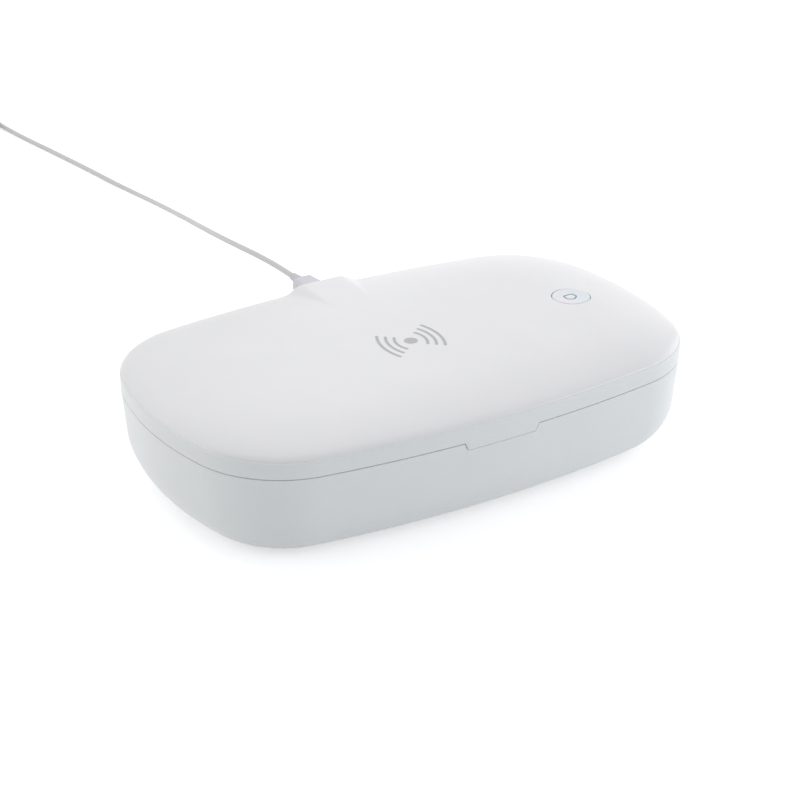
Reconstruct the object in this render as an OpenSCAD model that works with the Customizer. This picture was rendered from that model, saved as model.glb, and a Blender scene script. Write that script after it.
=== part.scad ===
/* [Outline] */
// Length of the box, end to end
box_l = 215; // [205:1:235]
// Width of the box, front to back, without the hinge
box_w = 134.2; // [128:0.2:146]
// Plan radius of the four corners
corner_r = 39.7; // [36:0.1:44]

/* [Heights] */
// How far the feet stand out of the underside
foot_h = 0.8; // [0.5:0.1:2]
// Height of the base, from its underside to the lid's lower edge
base_h = 35.8; // [32:0.1:44]
// Height of the lid's upright side
lid_side_h = 6.2; // [6:0.1:8]
// Rise of the lid's domed edge above its side
crown_h = 5.2; // [4.8:0.1:7]

/* [Casing] */
// Thickness of the outer walls
wall = 2.2; // [1.8:0.1:2.6]
// Gap between lid and base
seam_gap = 0.3; // [0.3:0.05:0.6]
// How far the base leans in per millimetre of height
draft = 0.08; // [0.02:0.01:0.12]
// Radius between the base's sides and its underside
bottom_r = 18.5; // [10:0.5:22]
// Width of the domed edge in plan
crown_w = 32.5; // [20:0.5:33]
// Step in from the lid's side to the cover
cover_step = 0.6; // [0.3:0.1:1]
// Width of the ledge inside the lid frame that carries the cover
ledge_w = 5; // [4.6:0.1:5.4]
// Thickness of that ledge
ledge_t = 1.2; // [0.8:0.1:1.4]

/* [Opening tab] */
// Width of the lid's tab at the seam
tab_w = 32; // [20:1:44]
// How far the tab hangs below the seam
tab_drop = 3; // [2:0.1:5]
// How much each end of the tab slants in
tab_slant = 1.5; // [0.5:0.1:3]
// Gap around the tab
tab_gap = 0.3; // [0.2:0.05:0.5]

/* [Hinge] */
// Radius of the hinge barrels behind the box
barrel_r = 3; // [2.6:0.1:3.4]
// Gap between a barrel and the walls that pass it
barrel_gap = 0.4; // [0.3:0.05:0.6]
// Radius of the two hinge pins
pin_r = 1; // [0.8:0.05:1.3]
// Running clearance of the lid's knuckles on their pins
pin_clear = 0.06; // [0.03:0.01:0.1]
// Distance from the middle of the box to the inner knuckles
hinge_start = 11; // [9:0.5:14]
// Length of each fixed knuckle
fixed_knuckle = 6; // [5:0.5:8]
// Length of each of the lid's knuckles
lid_knuckle = 7.4; // [6:0.2:10]
// Side gap between knuckles
knuckle_gap = 0.3; // [0.2:0.05:0.5]

/* [Port housing] */
// Width of the flat top of the housing over the charging port
hump_top_w = 14; // [10:0.5:18]
// Width of the housing where it meets the lid's side
hump_root_w = 33; // [28:0.5:40]
// Where the housing starts, from the middle of the box
hump_start = 22; // [18:1:30]
// Width of the port's opening in the rear wall
port_w = 8.2; // [7.8:0.1:9]
// Height of the port's opening
port_h = 3.2; // [3:0.1:3.4]
// Height of the port's centre above the seam
port_up = 4.3; // [4.2:0.05:4.4]

/* [Tray] */
// Distance from the outline to the edge of the phone tray
tray_in = 16; // [15:0.5:20]
// Thickness of the tray
tray_t = 1.6; // [1.2:0.1:2]
// Height of the tray's floor above the underside
tray_up = 10.2; // [8:0.1:14]
// Radius between the tray's sides and floor
tray_r = 6; // [3:0.5:8]
// How far the tray's rim lies below the base's edge
tray_sink = 0.3; // [0.2:0.1:1]
// Gap between the tray's rim and the base's wall
tray_gap = 0.3; // [0.3:0.05:0.6]
// Height of the rest that holds the phone off the floor
rest_h = 3; // [2:0.5:5]
// Thickness of the rest's bars
rest_bar = 3; // [2:0.25:4]
// Distance from the ends of the tray to the rest
rest_end_gap = 16.5; // [16:0.5:30]
// Distance from the sides of the tray to the rest
rest_side_gap = 18.1; // [18:0.1:30]
// Number of bars in the rest
rest_bars = 5; // [3:1:7]

/* [Lid insert] */
// Gap between the lid frame and the insert under it
insert_gap = 0.4; // [0.3:0.05:0.6]
// Height of the insert's lower face above the seam
insert_up = 0.8; // [0.6:0.1:1]
// Thickness of the insert
insert_t = 1.6; // [1.4:0.1:1.8]

/* [Lamps] */
// Distance of each lamp strip from the side of the box
strip_in = 34.1; // [34.1:0.1:38]
// Distance of the strips' ends from the ends of the box
strip_end_gap = 42.5; // [36:0.5:46]
// Width of a lamp strip
strip_w = 11; // [10:0.5:12]
// Thickness of the circuit boards
board_t = 1; // [0.8:0.1:1.2]
// Spacing of the lamps along a strip
lamp_step = 36; // [28:1:40]
// Width of a lamp
lamp_w = 3.5; // [3:0.1:4]
// Radius of the clear window under each lamp
window_r = 4.4; // [4:0.1:4.8]
// Thickness of the windows
window_t = 0.6; // [0.5:0.05:0.7]

/* [Button] */
// Distance of the button from the right end of the box
button_in = 30.5; // [28:0.5:36]
// Distance of the button from the middle, to the rear
button_y = -1; // [-6:0.5:6]
// Radius of the button
button_r = 7.6; // [6.5:0.1:8.5]
// Gap round the button
button_gap = 0.3; // [0.2:0.05:0.5]
// How far the button stands out of the lid
button_up = 0.1; // [0:0.1:0.5]
// How far the button travels
button_travel = 0.5; // [0.3:0.05:0.6]

/* [Charging coil] */
// Outer radius of the charging coil
coil_outer_r = 21; // [18:0.5:22]
// Inner radius of the charging coil
coil_inner_r = 8; // [6:0.5:10]
// Thickness of the charging coil
coil_t = 1.2; // [1:0.1:1.4]
// Thickness of the ferrite disc behind it
ferrite_t = 0.7; // [0.5:0.1:0.9]

/* [Fasteners and feet] */
// Radius of the screws' shanks
screw_r = 1.2; // [1:0.05:1.4]
// Radius of the screws' heads
head_r = 2.3; // [2:0.1:2.5]
// Height of the lid screws' heads
head_t = 0.9; // [0.7:0.1:1]
// Clearance round a screw in the piece that it holds down
screw_clear = 0.3; // [0.2:0.05:0.4]
// Radius of the rubber feet
foot_r = 6; // [4:0.5:8]
// Depth of the recesses that hold the feet
foot_sink = 0.8; // [0.5:0.1:1.2]
// Distance of the feet from the ends of the box
foot_end_in = 37.5; // [34:0.5:44]
// Distance of the feet from the sides of the box
foot_side_in = 35.1; // [33.1:0.5:42]
// Radius of the magnets that hold the lid shut
magnet_r = 3; // [2:0.25:3.5]
// Thickness of the magnets
magnet_t = 3; // [2:0.25:3.4]

/* [Lead] */
// Diameter of the lead
cord_d = 2.4; // [2.2:0.1:2.8]
// Width of the grip on the charging plug
grip_w = 9.4; // [8.6:0.1:10.4]
// Height of the grip on the charging plug
grip_h = 6.8; // [6:0.1:7]
// Length of the grip on the charging plug
grip_l = 13; // [10:0.5:16]
// Length of the bend relief behind the grip
relief_l = 8; // [6:0.5:12]
// Distance between turns of the put-away coil
turn_step = 3; // [2.9:0.05:3.4]
// Radius of the coil at the middle of its turns
turn_r = 13.9; // [12:0.1:15]

/* [Hidden] */

// Outline: eight tangent arcs. A long-side arc meets a corner on the line that leaves the
// corner's centre along (13, 84), an end arc on the one along (63, 16). Both have whole-number
// lengths, 85 and 65, so every arc centre and end is a round number.
half_l = box_l / 2;
half_w = box_w / 2;
run_x = half_l - corner_r;
run_y = half_w - corner_r;
side_step = snap(8 * (run_x - run_y / 8) / 103);
end_step = snap((run_y - side_step) / 16);
corner_x = 13 * side_step;
corner_y = 16 * end_step;
side_r = corner_r + 85 * side_step;
side_y = corner_y - 84 * side_step;
end_r = corner_r + 65 * end_step;
end_x = corner_x - 63 * end_step;

// Heights above the surface that the box stands on
seam_z = foot_h + base_h;
base_top = seam_z - seam_gap;
cover_z = seam_z + lid_side_h;
box_h = cover_z + crown_h;
cover_in_z = box_h - wall;
ledge_z = cover_z - ledge_t;
// How far in the plates lie that tie an outer wall's sectors together
joint_in = wall / 2;
insert_z = seam_z + insert_up;
insert_top = insert_z + insert_t;
tray_floor = foot_h + tray_up;
tray_rim = base_top - tray_sink;
rest_top = tray_floor + rest_h;
port_z = seam_z + port_up;

// Hinge line, behind the box at the seam
hinge_y = half_w + barrel_r + barrel_gap;
hinge_z = seam_z;
knuckle_mid = hinge_start + fixed_knuckle + knuckle_gap;
knuckle_end = knuckle_mid + lid_knuckle + knuckle_gap;
hinge_end = knuckle_end + fixed_knuckle;
// The middle of the whole part from front to rear, which is the frame's origin
mid_y = (hinge_y + barrel_r - half_w) / 2;

// Screws and magnets
pilot_fit = 0.01;
foot_x = half_l - foot_end_in;
foot_y = half_w - foot_side_in;
base_screw_x = foot_x - 10;
base_screw_y = foot_y - 8;
base_post_h = 3;
post_z = foot_h + wall + base_post_h;
head_sink = 1.2;
screw_bite = 3.6;
pilot_deep = 4;
boss_r = 3.2;
side_screw_end_in = 69.5;
side_screw_x = half_l - side_screw_end_in;
side_screw_in = 14;
end_screw_in = 14.5;
end_screw_y = 10;
lid_screws_at = concat(
    [for (x = [-1, 1], y = [-1, 1]) [x * side_screw_x, y * (half_w - side_screw_in)]],
    [for (x = [-1, 1]) [x * (half_l - end_screw_in), end_screw_y]]);
magnet_end_in = 55.5;
magnet_x = half_l - magnet_end_in;
magnet_in = 12.7;
magnet_y = magnet_in - half_w;
cup_t = 1.1;
cup_fit = 0.05;
interlock_in = 9.3;

// Rest and electronics
rest_l = box_l - 2 * (tray_in + rest_end_gap);
rest_w = box_w - 2 * (tray_in + rest_side_gap);
button_x = half_l - button_in;
strip_y = half_w - strip_in;
strip_l = box_l - 2 * strip_end_gap;
insert_rim_t = 1.6;
post_end_in = 4;
post_front_in = 14;
post_rear_in = 5;
lamp_h = 0.7;
lamp_ledge = 0.8;
socket_w = 7.5;
socket_h = 2.6;
socket_l = 5.4;
socket_wall = 0.25;
socket_back = 0.6;
socket_gap = 0.3;
control_t = 1.2;
control_z = port_z + socket_h / 2;
control_w = 60;
control_front = 28;
control_rear = half_w - ledge_w - 1.3;
post_r = 2;
button_board_z = insert_top + 2;
button_board_l = 24;
button_board_w = 16;
switch_w = 6;
switch_h = 1.5;
plunger_r = 1.75;
plunger_gap = 0.1;
plunger_foot = 0.6;
cap_t = 2.1;
cap_lip = 0.9;
cap_lip_t = 0.6;
cap_skirt = 1.2;
cap_stem_r = 2.2;
switch_top = button_board_z + control_t + switch_h;
plunger_top = switch_top + 0.6;
lip_top = cover_in_z - button_gap - 0.3;

// Charging plug
plug_y = half_w + 0.3;
plug_end = plug_y + grip_l + relief_l - mid_y;
tip_w = 6.7;
tip_h = 1.8;
tip_t = 0.3;

// Lead: round numbers in the part's own frame, from the bend relief to the coil. The lead keeps
// this course when the box's size changes: it slides along with the plug, and its heights
// follow the port's.
cord_r = cord_d / 2;
tie_t = 0.6;
tie_room = 0.35;
tie_w = 8;
tie_angle = 205;
lead_z = cord_r + tie_t;
route = [[0, 85.2, 40.9], [0, 91, 40.8], [0, 101, 40.4], [0, 112, 39.6], [0, 124, 38.2],
    [1, 137, 36.3], [2, 151, 33.7], [4, 166, 30.5], [7, 182, 26.9], [11, 198, 23.1],
    [15, 215, 19.1], [18, 231, 15.2], [21, 247, 11.5], [23, 263, 8.3], [25, 279, 5.5],
    [25.5, 294, 3.4], [25, 309, 2], [24, 324, 1.3], [22, 341, 1.2], [20, 358, 1.2],
    [17, 375, 1.2], [15, 391, 1.2], [13, 407, 1.2], [10.5, 423, 1.25], [8.7, 435, 1.5],
    [8.3, 443, 1.8], [8.3, 449, 1.8]];
lead_shift = plug_end - 85.2;
lead_rise = (port_z - cord_r) / 39.7;
route_end = route[len(route) - 1];
route_steps = 3;
layers = 4;
turns = 12.25;
coil_rings = 24;
turns_in_layer = turns / layers;
coil_start_r = turn_r + turns_in_layer * turn_step / 2;
coil_x = route_end[0] - coil_start_r;
coil_y = route_end[1] + lead_shift + cord_d;
coil_top_z = lead_z + (layers - 1) * turn_step;
tail = [[0, 0, 0], [-3, 0, 0], [-8, 0, -0.05], [-14, -1, -0.2], [-20, -4, -0.42],
    [-25, -9, -0.66], [-28, -15, -0.86], [-29, -21, -0.97], [-29, -26, -1], [-29, -29, -1]];
far_w = 15.6;
far_h = 7.6;
far_l = 22;
far_relief_l = 9;
tail_drop = coil_top_z - far_h / 2;
far_shell_w = 12;
far_shell_h = 4.5;
far_shell_l = 18.8;
sheet_t = 0.35;

smooth = 64;
sweep_side = 360;
sweep_end = 180;
sweep_corner = 96;

function snap(v) = round(v * 1000) / 1000;

// The outline's sectors: each arc's centre, radius, number of facets and wedge. The sides of the
// wedges run along the directions (13, 84) and (63, 16), past the outline.
SECTORS = concat(
    [for (x = [-1, 1], y = [-1, 1]) [x * corner_x, y * corner_y, corner_r, sweep_corner, [
        [x * corner_x, y * corner_y],
        [x * (corner_x + 2 * 13), y * (corner_y + 2 * 84)],
        [x * (corner_x + 3 * 63), y * (corner_y + 3 * 16)]]]],
    [for (y = [-1, 1]) [0, y * side_y, side_r, sweep_side, [
        [-corner_x, y * corner_y],
        [corner_x, y * corner_y],
        [corner_x + 2 * 13, y * (corner_y + 2 * 84)],
        [-corner_x - 2 * 13, y * (corner_y + 2 * 84)]]]],
    [for (x = [-1, 1]) [x * end_x, 0, end_r, sweep_end, [
        [x * corner_x, -corner_y],
        [x * corner_x, corner_y],
        [x * (corner_x + 3 * 63), corner_y + 3 * 16],
        [x * (corner_x + 3 * 63), -corner_y - 3 * 16]]]]);

// Profile of a bowl's wall, from its edge down to its floor, as [distance in from the
// outline, height]: a straight wall that leans in, then an arc of radius r down to the floor.
// skin moves it inwards by a thickness.
function bowl(edge, top, floor_z, r, lean, skin, steps) =
    let (tilt = atan(lean),
        mid_in = edge + lean * (top - floor_z - r + r * sin(tilt)) + r * cos(tilt),
        mid_z = floor_z + r,
        s = r - skin)
    concat([[edge + skin / cos(tilt), top]],
        [for (i = [0:steps]) let (a = tilt + (90 - tilt) * i / steps)
            [mid_in - s * cos(a), mid_z - s * sin(a)]]);

// Profile of the cover's edge: a quarter of an ellipse, from the flat top down to the side
function crown(skin, steps) = [for (i = [steps:-1:0]) let (a = 90 * i / steps)
    [cover_step + skin + (crown_w - skin) * (1 - cos(a)), cover_z + (crown_h - skin) * sin(a)]];

// Half of an S curve from 1 down to 0 over t from 0 to 1
function ease(t) = 0.5 + 0.5 * cos(180 * t);

// Front outline of the port housing: a flat top with an S curve down each side
function hump(top_z, half_top, half_root, steps) = concat(
    [[-half_root, cover_z - 1]],
    [for (i = [0:steps]) [-half_root + (half_root - half_top) * i / steps,
        cover_z + (top_z - cover_z) * (1 - ease(i / steps))]],
    [for (i = [0:steps]) [half_top + (half_root - half_top) * i / steps,
        cover_z + (top_z - cover_z) * ease(i / steps)]],
    [[half_root, cover_z - 1]]);

// The outline, drawn a distance further in
module oval(edge) {
    for (s = SECTORS)
        intersection() {
            translate([s[0], s[1]])
                circle(r = s[2] - edge, $fn = s[3]);
            polygon(s[4]);
        }
    square([2 * corner_x, 2 * corner_y], center = true);
}

module oval_plate(edge, low, high)
    translate([0, 0, low])
        linear_extrude(high - low)
            oval(edge);

// A solid with that outline, whose side follows a profile from its top to its bottom: in each
// sector the profile is turned about the arc's centre
module oval_solid(profile) {
    low = snap(profile[len(profile) - 1][1]);
    high = snap(profile[0][1]);
    for (s = SECTORS)
        intersection() {
            translate([s[0], s[1], 0])
                rotate_extrude($fn = s[3])
                    polygon(concat([for (p = profile) [s[2] - snap(p[0]), snap(p[1])]],
                        [[0, low], [0, high]]));
            translate([0, 0, low - 1])
                linear_extrude(high - low + 2)
                    polygon(s[4]);
        }
    translate([-corner_x, -corner_y, low])
        cube([2 * corner_x, 2 * corner_y, high - low]);
}

module in_frame() translate([0, -mid_y, 0]) children();

// A bar with an outline given in width and height, from front to rear
module front_extrude(front, rear)
    translate([0, rear, 0])
        rotate([90, 0, 0])
            linear_extrude(rear - front)
                children();

// A bar with an outline given in depth and height, from left to right
module side_extrude(left, right)
    translate([left, 0, 0])
        rotate([90, 0, 90])
            linear_extrude(right - left)
                children();

module barrel(left, right, r)
    translate([left, hinge_y, hinge_z])
        rotate([0, 90, 0])
            cylinder(r = r, h = right - left, $fn = smooth);

// ---- Base ----

module base_knuckle(left)
    difference() {
        union() {
            barrel(left, left + fixed_knuckle, barrel_r);
            side_extrude(left, left + fixed_knuckle)
                polygon([[half_w - wall - 0.5, hinge_z - 12], [half_w - wall - 0.5, base_top - 0.3],
                    [hinge_y, base_top - 0.3], [hinge_y, hinge_z - barrel_r]]);
        }
        barrel(left - 1, left + fixed_knuckle + 1, pin_r + pilot_fit);
    }

module base_screw_places()
    for (x = [-1, 1], y = [-1, 1])
        translate([x * base_screw_x, y * base_screw_y, 0])
            children();

module foot_places()
    for (x = [-1, 1], y = [-1, 1])
        translate([x * foot_x, y * foot_y, 0])
            children();

module base_shell() {
    color("#F2F4F5")
    in_frame() {
        difference() {
            union() {
                difference() {
                    union() {
                        oval_solid(bowl(0, base_top, foot_h, bottom_r, draft, 0, 12));
                        oval_plate(joint_in, base_top - wall, base_top);
                    }
                    oval_solid(bowl(0, base_top + 1, foot_h, bottom_r, draft, wall, 12));
                }
                base_screw_places()
                    translate([0, 0, foot_h + wall / 2])
                        cylinder(r = head_r + 2, h = post_z - foot_h - wall / 2, $fn = smooth);
            }
            front_extrude(-half_w - 1, -half_w + wall + 1)
                polygon([[-tab_w / 2 - tab_gap, base_top + 1], [-tab_w / 2 - tab_gap, base_top],
                    [tab_slant - tab_w / 2 - tab_gap, seam_z - tab_drop - tab_gap],
                    [tab_w / 2 - tab_slant + tab_gap, seam_z - tab_drop - tab_gap],
                    [tab_w / 2 + tab_gap, base_top], [tab_w / 2 + tab_gap, base_top + 1]]);
            foot_places()
                translate([0, 0, foot_h - 1])
                    cylinder(r = foot_r + 0.1, h = foot_sink + 1, $fn = smooth);
            base_screw_places() {
                translate([0, 0, foot_h - 1])
                    cylinder(r = head_r + screw_clear, h = head_sink + head_t + 1, $fn = smooth);
                cylinder(r = screw_r + screw_clear, h = post_z + 1, $fn = smooth);
            }
        }
        for (side = [-hinge_end, -hinge_start - fixed_knuckle, hinge_start, knuckle_end])
            base_knuckle(side);
    }
}

module magnet_cup(low)
    translate([0, 0, low])
        difference() {
            cylinder(r = magnet_r + cup_fit + cup_t, h = magnet_t, $fn = smooth);
            translate([0, 0, -1])
                cylinder(r = magnet_r + cup_fit, h = magnet_t + 2, $fn = smooth);
        }

module magnet_places()
    for (x = [-1, 1])
        translate([x * magnet_x, magnet_y, 0])
            children();

module phone_tray() {
    rim_low = tray_rim - tray_t;
    color("#C9CED2")
    in_frame() {
        difference() {
            union() {
                oval_plate(wall + tray_gap + 0.1, rim_low, tray_rim);
                oval_solid(bowl(tray_in, tray_rim - 0.5, tray_floor, tray_r, draft, -tray_t, 8));
                base_screw_places()
                    translate([0, 0, post_z])
                        cylinder(r = boss_r, h = tray_floor - post_z - tray_t / 2, $fn = smooth);
            }
            oval_solid(bowl(tray_in, tray_rim + 1, tray_floor, tray_r, draft, 0, 8));
            base_screw_places()
                translate([0, 0, post_z - 1])
                    cylinder(r = screw_r + pilot_fit, h = pilot_deep + 1, $fn = smooth);
        }
        magnet_places()
            magnet_cup(rim_low - magnet_t);
        translate([half_l - interlock_in, 0, 0])
            magnet_cup(rim_low - magnet_t);
    }
}

module phone_rest()
    color("#DDEBF2", 0.6)
    in_frame()
        for (i = [0:rest_bars - 1])
            translate([(i / (rest_bars - 1) - 0.5) * (rest_l - rest_bar), 0, tray_floor])
                side_extrude(-rest_bar / 2, rest_bar / 2)
                    polygon([[-rest_w / 2, 0], [-rest_w / 2 + 2, rest_h], [rest_w / 2 - 2, rest_h],
                        [rest_w / 2, 0]]);

module magnet(low)
    translate([0, 0, low])
        cylinder(r = magnet_r, h = magnet_t, $fn = smooth);

module base_magnets()
    color("#B8BBBE")
    in_frame()
        magnet_places()
            magnet(tray_rim - tray_t - magnet_t);

module interlock_magnet()
    color("#B8BBBE")
    in_frame()
        translate([half_l - interlock_in, 0, 0])
            magnet(tray_rim - tray_t - magnet_t);

module feet()
    color("#D9DBDC")
    in_frame()
        foot_places()
            rotate_extrude($fn = smooth)
                polygon([[0, 0], [foot_r - 0.5, 0], [foot_r, 0.5], [foot_r, foot_h + foot_sink],
                    [0, foot_h + foot_sink]]);

// A pan-head screw with its head's face at the bottom, a cross recess and its length up
module screw(low, head_h, length)
    translate([0, 0, low])
        difference() {
            union() {
                cylinder(r = head_r, h = head_h, $fn = smooth);
                cylinder(r = screw_r, h = length, $fn = smooth);
            }
            for (a = [0, 90])
                rotate([0, 0, a])
                    translate([-head_r * 0.6, -0.3, -1])
                        cube([head_r * 1.2, 0.6, 1 + head_h / 2]);
        }

module base_screws()
    color("#9DA1A5")
    in_frame()
        base_screw_places()
            screw(foot_h + head_sink, head_t, post_z + screw_bite - foot_h - head_sink);

module hinge_pins()
    color("#A9ADB1")
    in_frame()
        for (left = [-hinge_end, hinge_start])
            barrel(left + 0.4, left + hinge_end - hinge_start - 0.4, pin_r);

// ---- Lid ----

module lid_knuckle_at(left)
    difference() {
        union() {
            barrel(left, left + lid_knuckle, barrel_r);
            side_extrude(left, left + lid_knuckle)
                polygon([[half_w - wall - 0.3, hinge_z + 0.5], [hinge_y, hinge_z + 0.5],
                    [hinge_y, hinge_z + barrel_r], [half_w - wall - 0.3, cover_z - 1.5]]);
        }
        barrel(left - 1, left + lid_knuckle + 1, pin_r + pin_clear);
    }

module port_hole(front, rear)
    front_extrude(front, rear) {
        translate([0, port_z])
            square([port_w - port_h, port_h], center = true);
        for (x = [-1, 1])
            translate([x * (port_w - port_h) / 2, port_z])
                circle(d = port_h, $fn = smooth);
    }

module lid_frame() {
    bevel = 0.2;
    color("#F4F5F6")
    in_frame() {
        difference() {
            union() {
                oval_solid([[cover_step, cover_z], [0, cover_z - cover_step], [0, seam_z + bevel],
                    [bevel, seam_z]]);
                oval_plate(joint_in, seam_z, cover_z);
            }
            oval_plate(ledge_w, ledge_z - 1, cover_z + 1);
            oval_plate(wall, seam_z - 1, ledge_z);
            port_hole(half_w - ledge_w - 1, half_w + 1);
            front_extrude(half_w - ledge_w - 1, half_w - wall)
                translate([-socket_w / 2 - socket_gap, seam_z])
                    square([socket_w + 2 * socket_gap, cover_z - seam_z + 1]);
        }
        intersection() {
            difference() {
                oval_plate(0, seam_z - tab_drop, seam_z + 1);
                oval_plate(wall, seam_z - tab_drop - 1, seam_z + 2);
            }
            front_extrude(-half_w - 1, 0)
                polygon([[-tab_w / 2, seam_z + 1], [-tab_w / 2, seam_z],
                    [tab_slant - tab_w / 2, seam_z - tab_drop],
                    [tab_w / 2 - tab_slant, seam_z - tab_drop],
                    [tab_w / 2, seam_z], [tab_w / 2, seam_z + 1]]);
        }
        for (left = [-knuckle_mid - lid_knuckle, knuckle_mid])
            lid_knuckle_at(left);
    }
}

module lid_screw_places()
    for (p = lid_screws_at)
        translate([p[0], p[1], 0])
            children();

module lid_cover() {
    hump_steps = 10;
    color("#F7F8F8")
    in_frame()
        difference() {
            union() {
                difference() {
                    union() {
                        oval_solid(crown(0, 14));
                        oval_plate(cover_step + joint_in, cover_z, cover_z + cover_step);
                        intersection() {
                            front_extrude(hump_start, half_w)
                                polygon(hump(box_h, hump_top_w / 2, hump_root_w / 2, hump_steps));
                            oval_plate(cover_step, cover_z, box_h);
                        }
                    }
                    oval_solid(concat(crown(wall, 14), [[cover_step + wall, cover_z - 1]]));
                    intersection() {
                        front_extrude(hump_start, half_w)
                            polygon(hump(cover_in_z, hump_top_w / 2 - wall / 2,
                                hump_root_w / 2 - wall, hump_steps));
                        oval_plate(cover_step + wall, cover_z - 1, cover_in_z);
                    }
                }
                lid_screw_places()
                    translate([0, 0, insert_top])
                        cylinder(r = boss_r - 0.2, h = cover_z + crown_h * 0.55 - insert_top, $fn = smooth);
            }
            translate([button_x, button_y, cover_z])
                cylinder(r = button_r + button_gap, h = crown_h + 1, $fn = smooth);
            lid_screw_places()
                translate([0, 0, insert_top - 1])
                    cylinder(r = screw_r + pilot_fit, h = cover_z + 1.6 - insert_top, $fn = smooth);
        }
}

module lamp_places()
    for (y = [-1, 1], i = [-1.5:1:1.5])
        translate([i * lamp_step, y * strip_y, 0])
            children();

module control_post_places()
    for (x = [-1, 1], y = [control_front + post_front_in, control_rear - post_rear_in])
        translate([x * (control_w / 2 - post_end_in), y, 0])
            children();

module button_post_places()
    for (x = [-1, 1], y = [-1, 1])
        translate([button_x + x * (button_board_l / 2 - 2.5), button_y + y * (button_board_w / 2 - 2.5), 0])
            children();

module lid_insert() {
    edge = wall + insert_gap;
    color("#D3D8DB")
    in_frame()
        difference() {
            union() {
                oval_plate(edge, insert_z, insert_top);
                difference() {
                    oval_plate(edge, insert_z, ledge_z);
                    oval_plate(edge + insert_rim_t, insert_z - 1, ledge_z + 1);
                    front_extrude(half_w - edge - 2 * insert_rim_t, half_w)
                        translate([-socket_w / 2 - socket_gap, insert_top])
                            square([socket_w + 2 * socket_gap, lid_side_h]);
                }
                control_post_places()
                    translate([0, 0, insert_z])
                        cylinder(r = post_r, h = control_z - insert_z, $fn = smooth);
                button_post_places()
                    translate([0, 0, insert_z])
                        cylinder(r = post_r, h = button_board_z - insert_z, $fn = smooth);
                magnet_places()
                    magnet_cup(insert_top);
            }
            lamp_places() {
                translate([0, 0, insert_z - 1])
                    cylinder(r = window_r + 0.1, h = insert_t - lamp_ledge + 1, $fn = smooth);
                cylinder(r = window_r - 0.8, h = insert_top + 1, $fn = smooth);
            }
            lid_screw_places() {
                translate([0, 0, insert_z - 1])
                    cylinder(r = head_r + screw_clear, h = head_t + 1, $fn = smooth);
                cylinder(r = screw_r + screw_clear, h = insert_top + 1, $fn = smooth);
            }
        }
}

module lid_screws()
    color("#9DA1A5")
    in_frame()
        lid_screw_places()
            screw(insert_z, head_t, cover_z - insert_z);

module lid_magnets()
    color("#B8BBBE")
    in_frame()
        magnet_places()
            magnet(insert_top);

module lamp_boards()
    color("#E9E7DC")
    in_frame()
        for (y = [-1, 1])
            translate([0, y * strip_y, insert_top + board_t / 2])
                cube([strip_l, strip_w, board_t], center = true);

// A lamp: a square ceramic carrier with a round lens facing down
module uv_lamps()
    color("#E4DCC0")
    in_frame()
        lamp_places()
            translate([0, 0, insert_top - lamp_h / 2]) {
                translate([0, 0, lamp_h / 4])
                    cube([lamp_w, lamp_w, lamp_h / 2], center = true);
                translate([0, 0, -lamp_h / 2])
                    cylinder(r = lamp_w * 0.4, h = lamp_h / 2, $fn = smooth);
            }

module lamp_windows()
    color("#CFE2F0", 0.5)
    in_frame()
        lamp_places()
            translate([0, 0, insert_top - lamp_ledge - window_t])
                cylinder(r = window_r, h = window_t, $fn = smooth);

module charging_coil()
    color("#B5713C")
    in_frame()
        rotate_extrude($fn = 96)
            translate([coil_inner_r, cover_in_z - coil_t])
                square([coil_outer_r - coil_inner_r, coil_t]);

module ferrite_disc()
    color("#3A3B3D")
    in_frame()
        translate([0, 0, cover_in_z - coil_t - ferrite_t])
            cylinder(r = coil_outer_r + 1, h = ferrite_t, $fn = 96);

module control_board() {
    parts = [[-20, 36, 7, 7, 1.2], [-8, 38, 10, 10, 1], [8, 36, 6, 6, 0.9], [20, 40, 8, 5, 1.4],
        [-18, 50, 5, 9, 1], [18, 52, 4, 4, 1.1]];
    color("#2F6B45")
    in_frame() {
        translate([-control_w / 2, control_front, control_z])
            cube([control_w, control_rear - control_front, control_t]);
        translate([-socket_w / 2, control_rear - 1, control_z])
            cube([socket_w, half_w - cover_step - wall - 0.3 - control_rear + 1, control_t]);
        for (p = parts)
            translate([p[0] - p[2] / 2, p[1] - p[3] / 2, control_z + control_t / 2])
                cube([p[2], p[3], p[4] + control_t / 2]);
    }
}

// The port: a thin shell open to the rear, with a tongue inside
module port_socket() {
    rear = half_w - wall - 0.1;
    color("#C3C6C8")
    in_frame() {
        difference() {
            translate([-socket_w / 2, rear - socket_l, port_z - socket_h / 2])
                cube([socket_w, socket_l, socket_h]);
            translate([-socket_w / 2 + socket_wall, rear - socket_l + socket_back,
                port_z - socket_h / 2 + socket_wall])
                cube([socket_w - 2 * socket_wall, socket_l, socket_h - 2 * socket_wall]);
        }
        translate([-2.2, rear - socket_l + 0.3, port_z - 0.25])
            cube([4.4, socket_l - 1, 0.5]);
    }
}

module button_board()
    color("#2F6B45")
    in_frame()
        translate([button_x, button_y, button_board_z]) {
            translate([0, 0, control_t / 2])
                cube([button_board_l, button_board_w, control_t], center = true);
            translate([button_board_l / 2 - 5, -1.5, -0.9])
                cube([3, 3, 1.2]);
        }

module switch_body()
    color("#2B2C2E")
    in_frame()
        translate([button_x, button_y, button_board_z + control_t])
            difference() {
                translate([-switch_w / 2, -switch_w / 2, 0])
                    cube([switch_w, switch_w, switch_h]);
                translate([0, 0, -1])
                    cylinder(r = plunger_r + plunger_gap, h = switch_h + 2, $fn = smooth);
            }

module status_lights()
    color("#CFE6FF")
    in_frame()
        for (x = [-1, 1])
            translate([button_x + x * (switch_w / 2 + 1.7) - 0.8, button_y - 0.5, button_board_z + control_t])
                cube([1.6, 1, 0.7]);

// ---- Button ----

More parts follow.
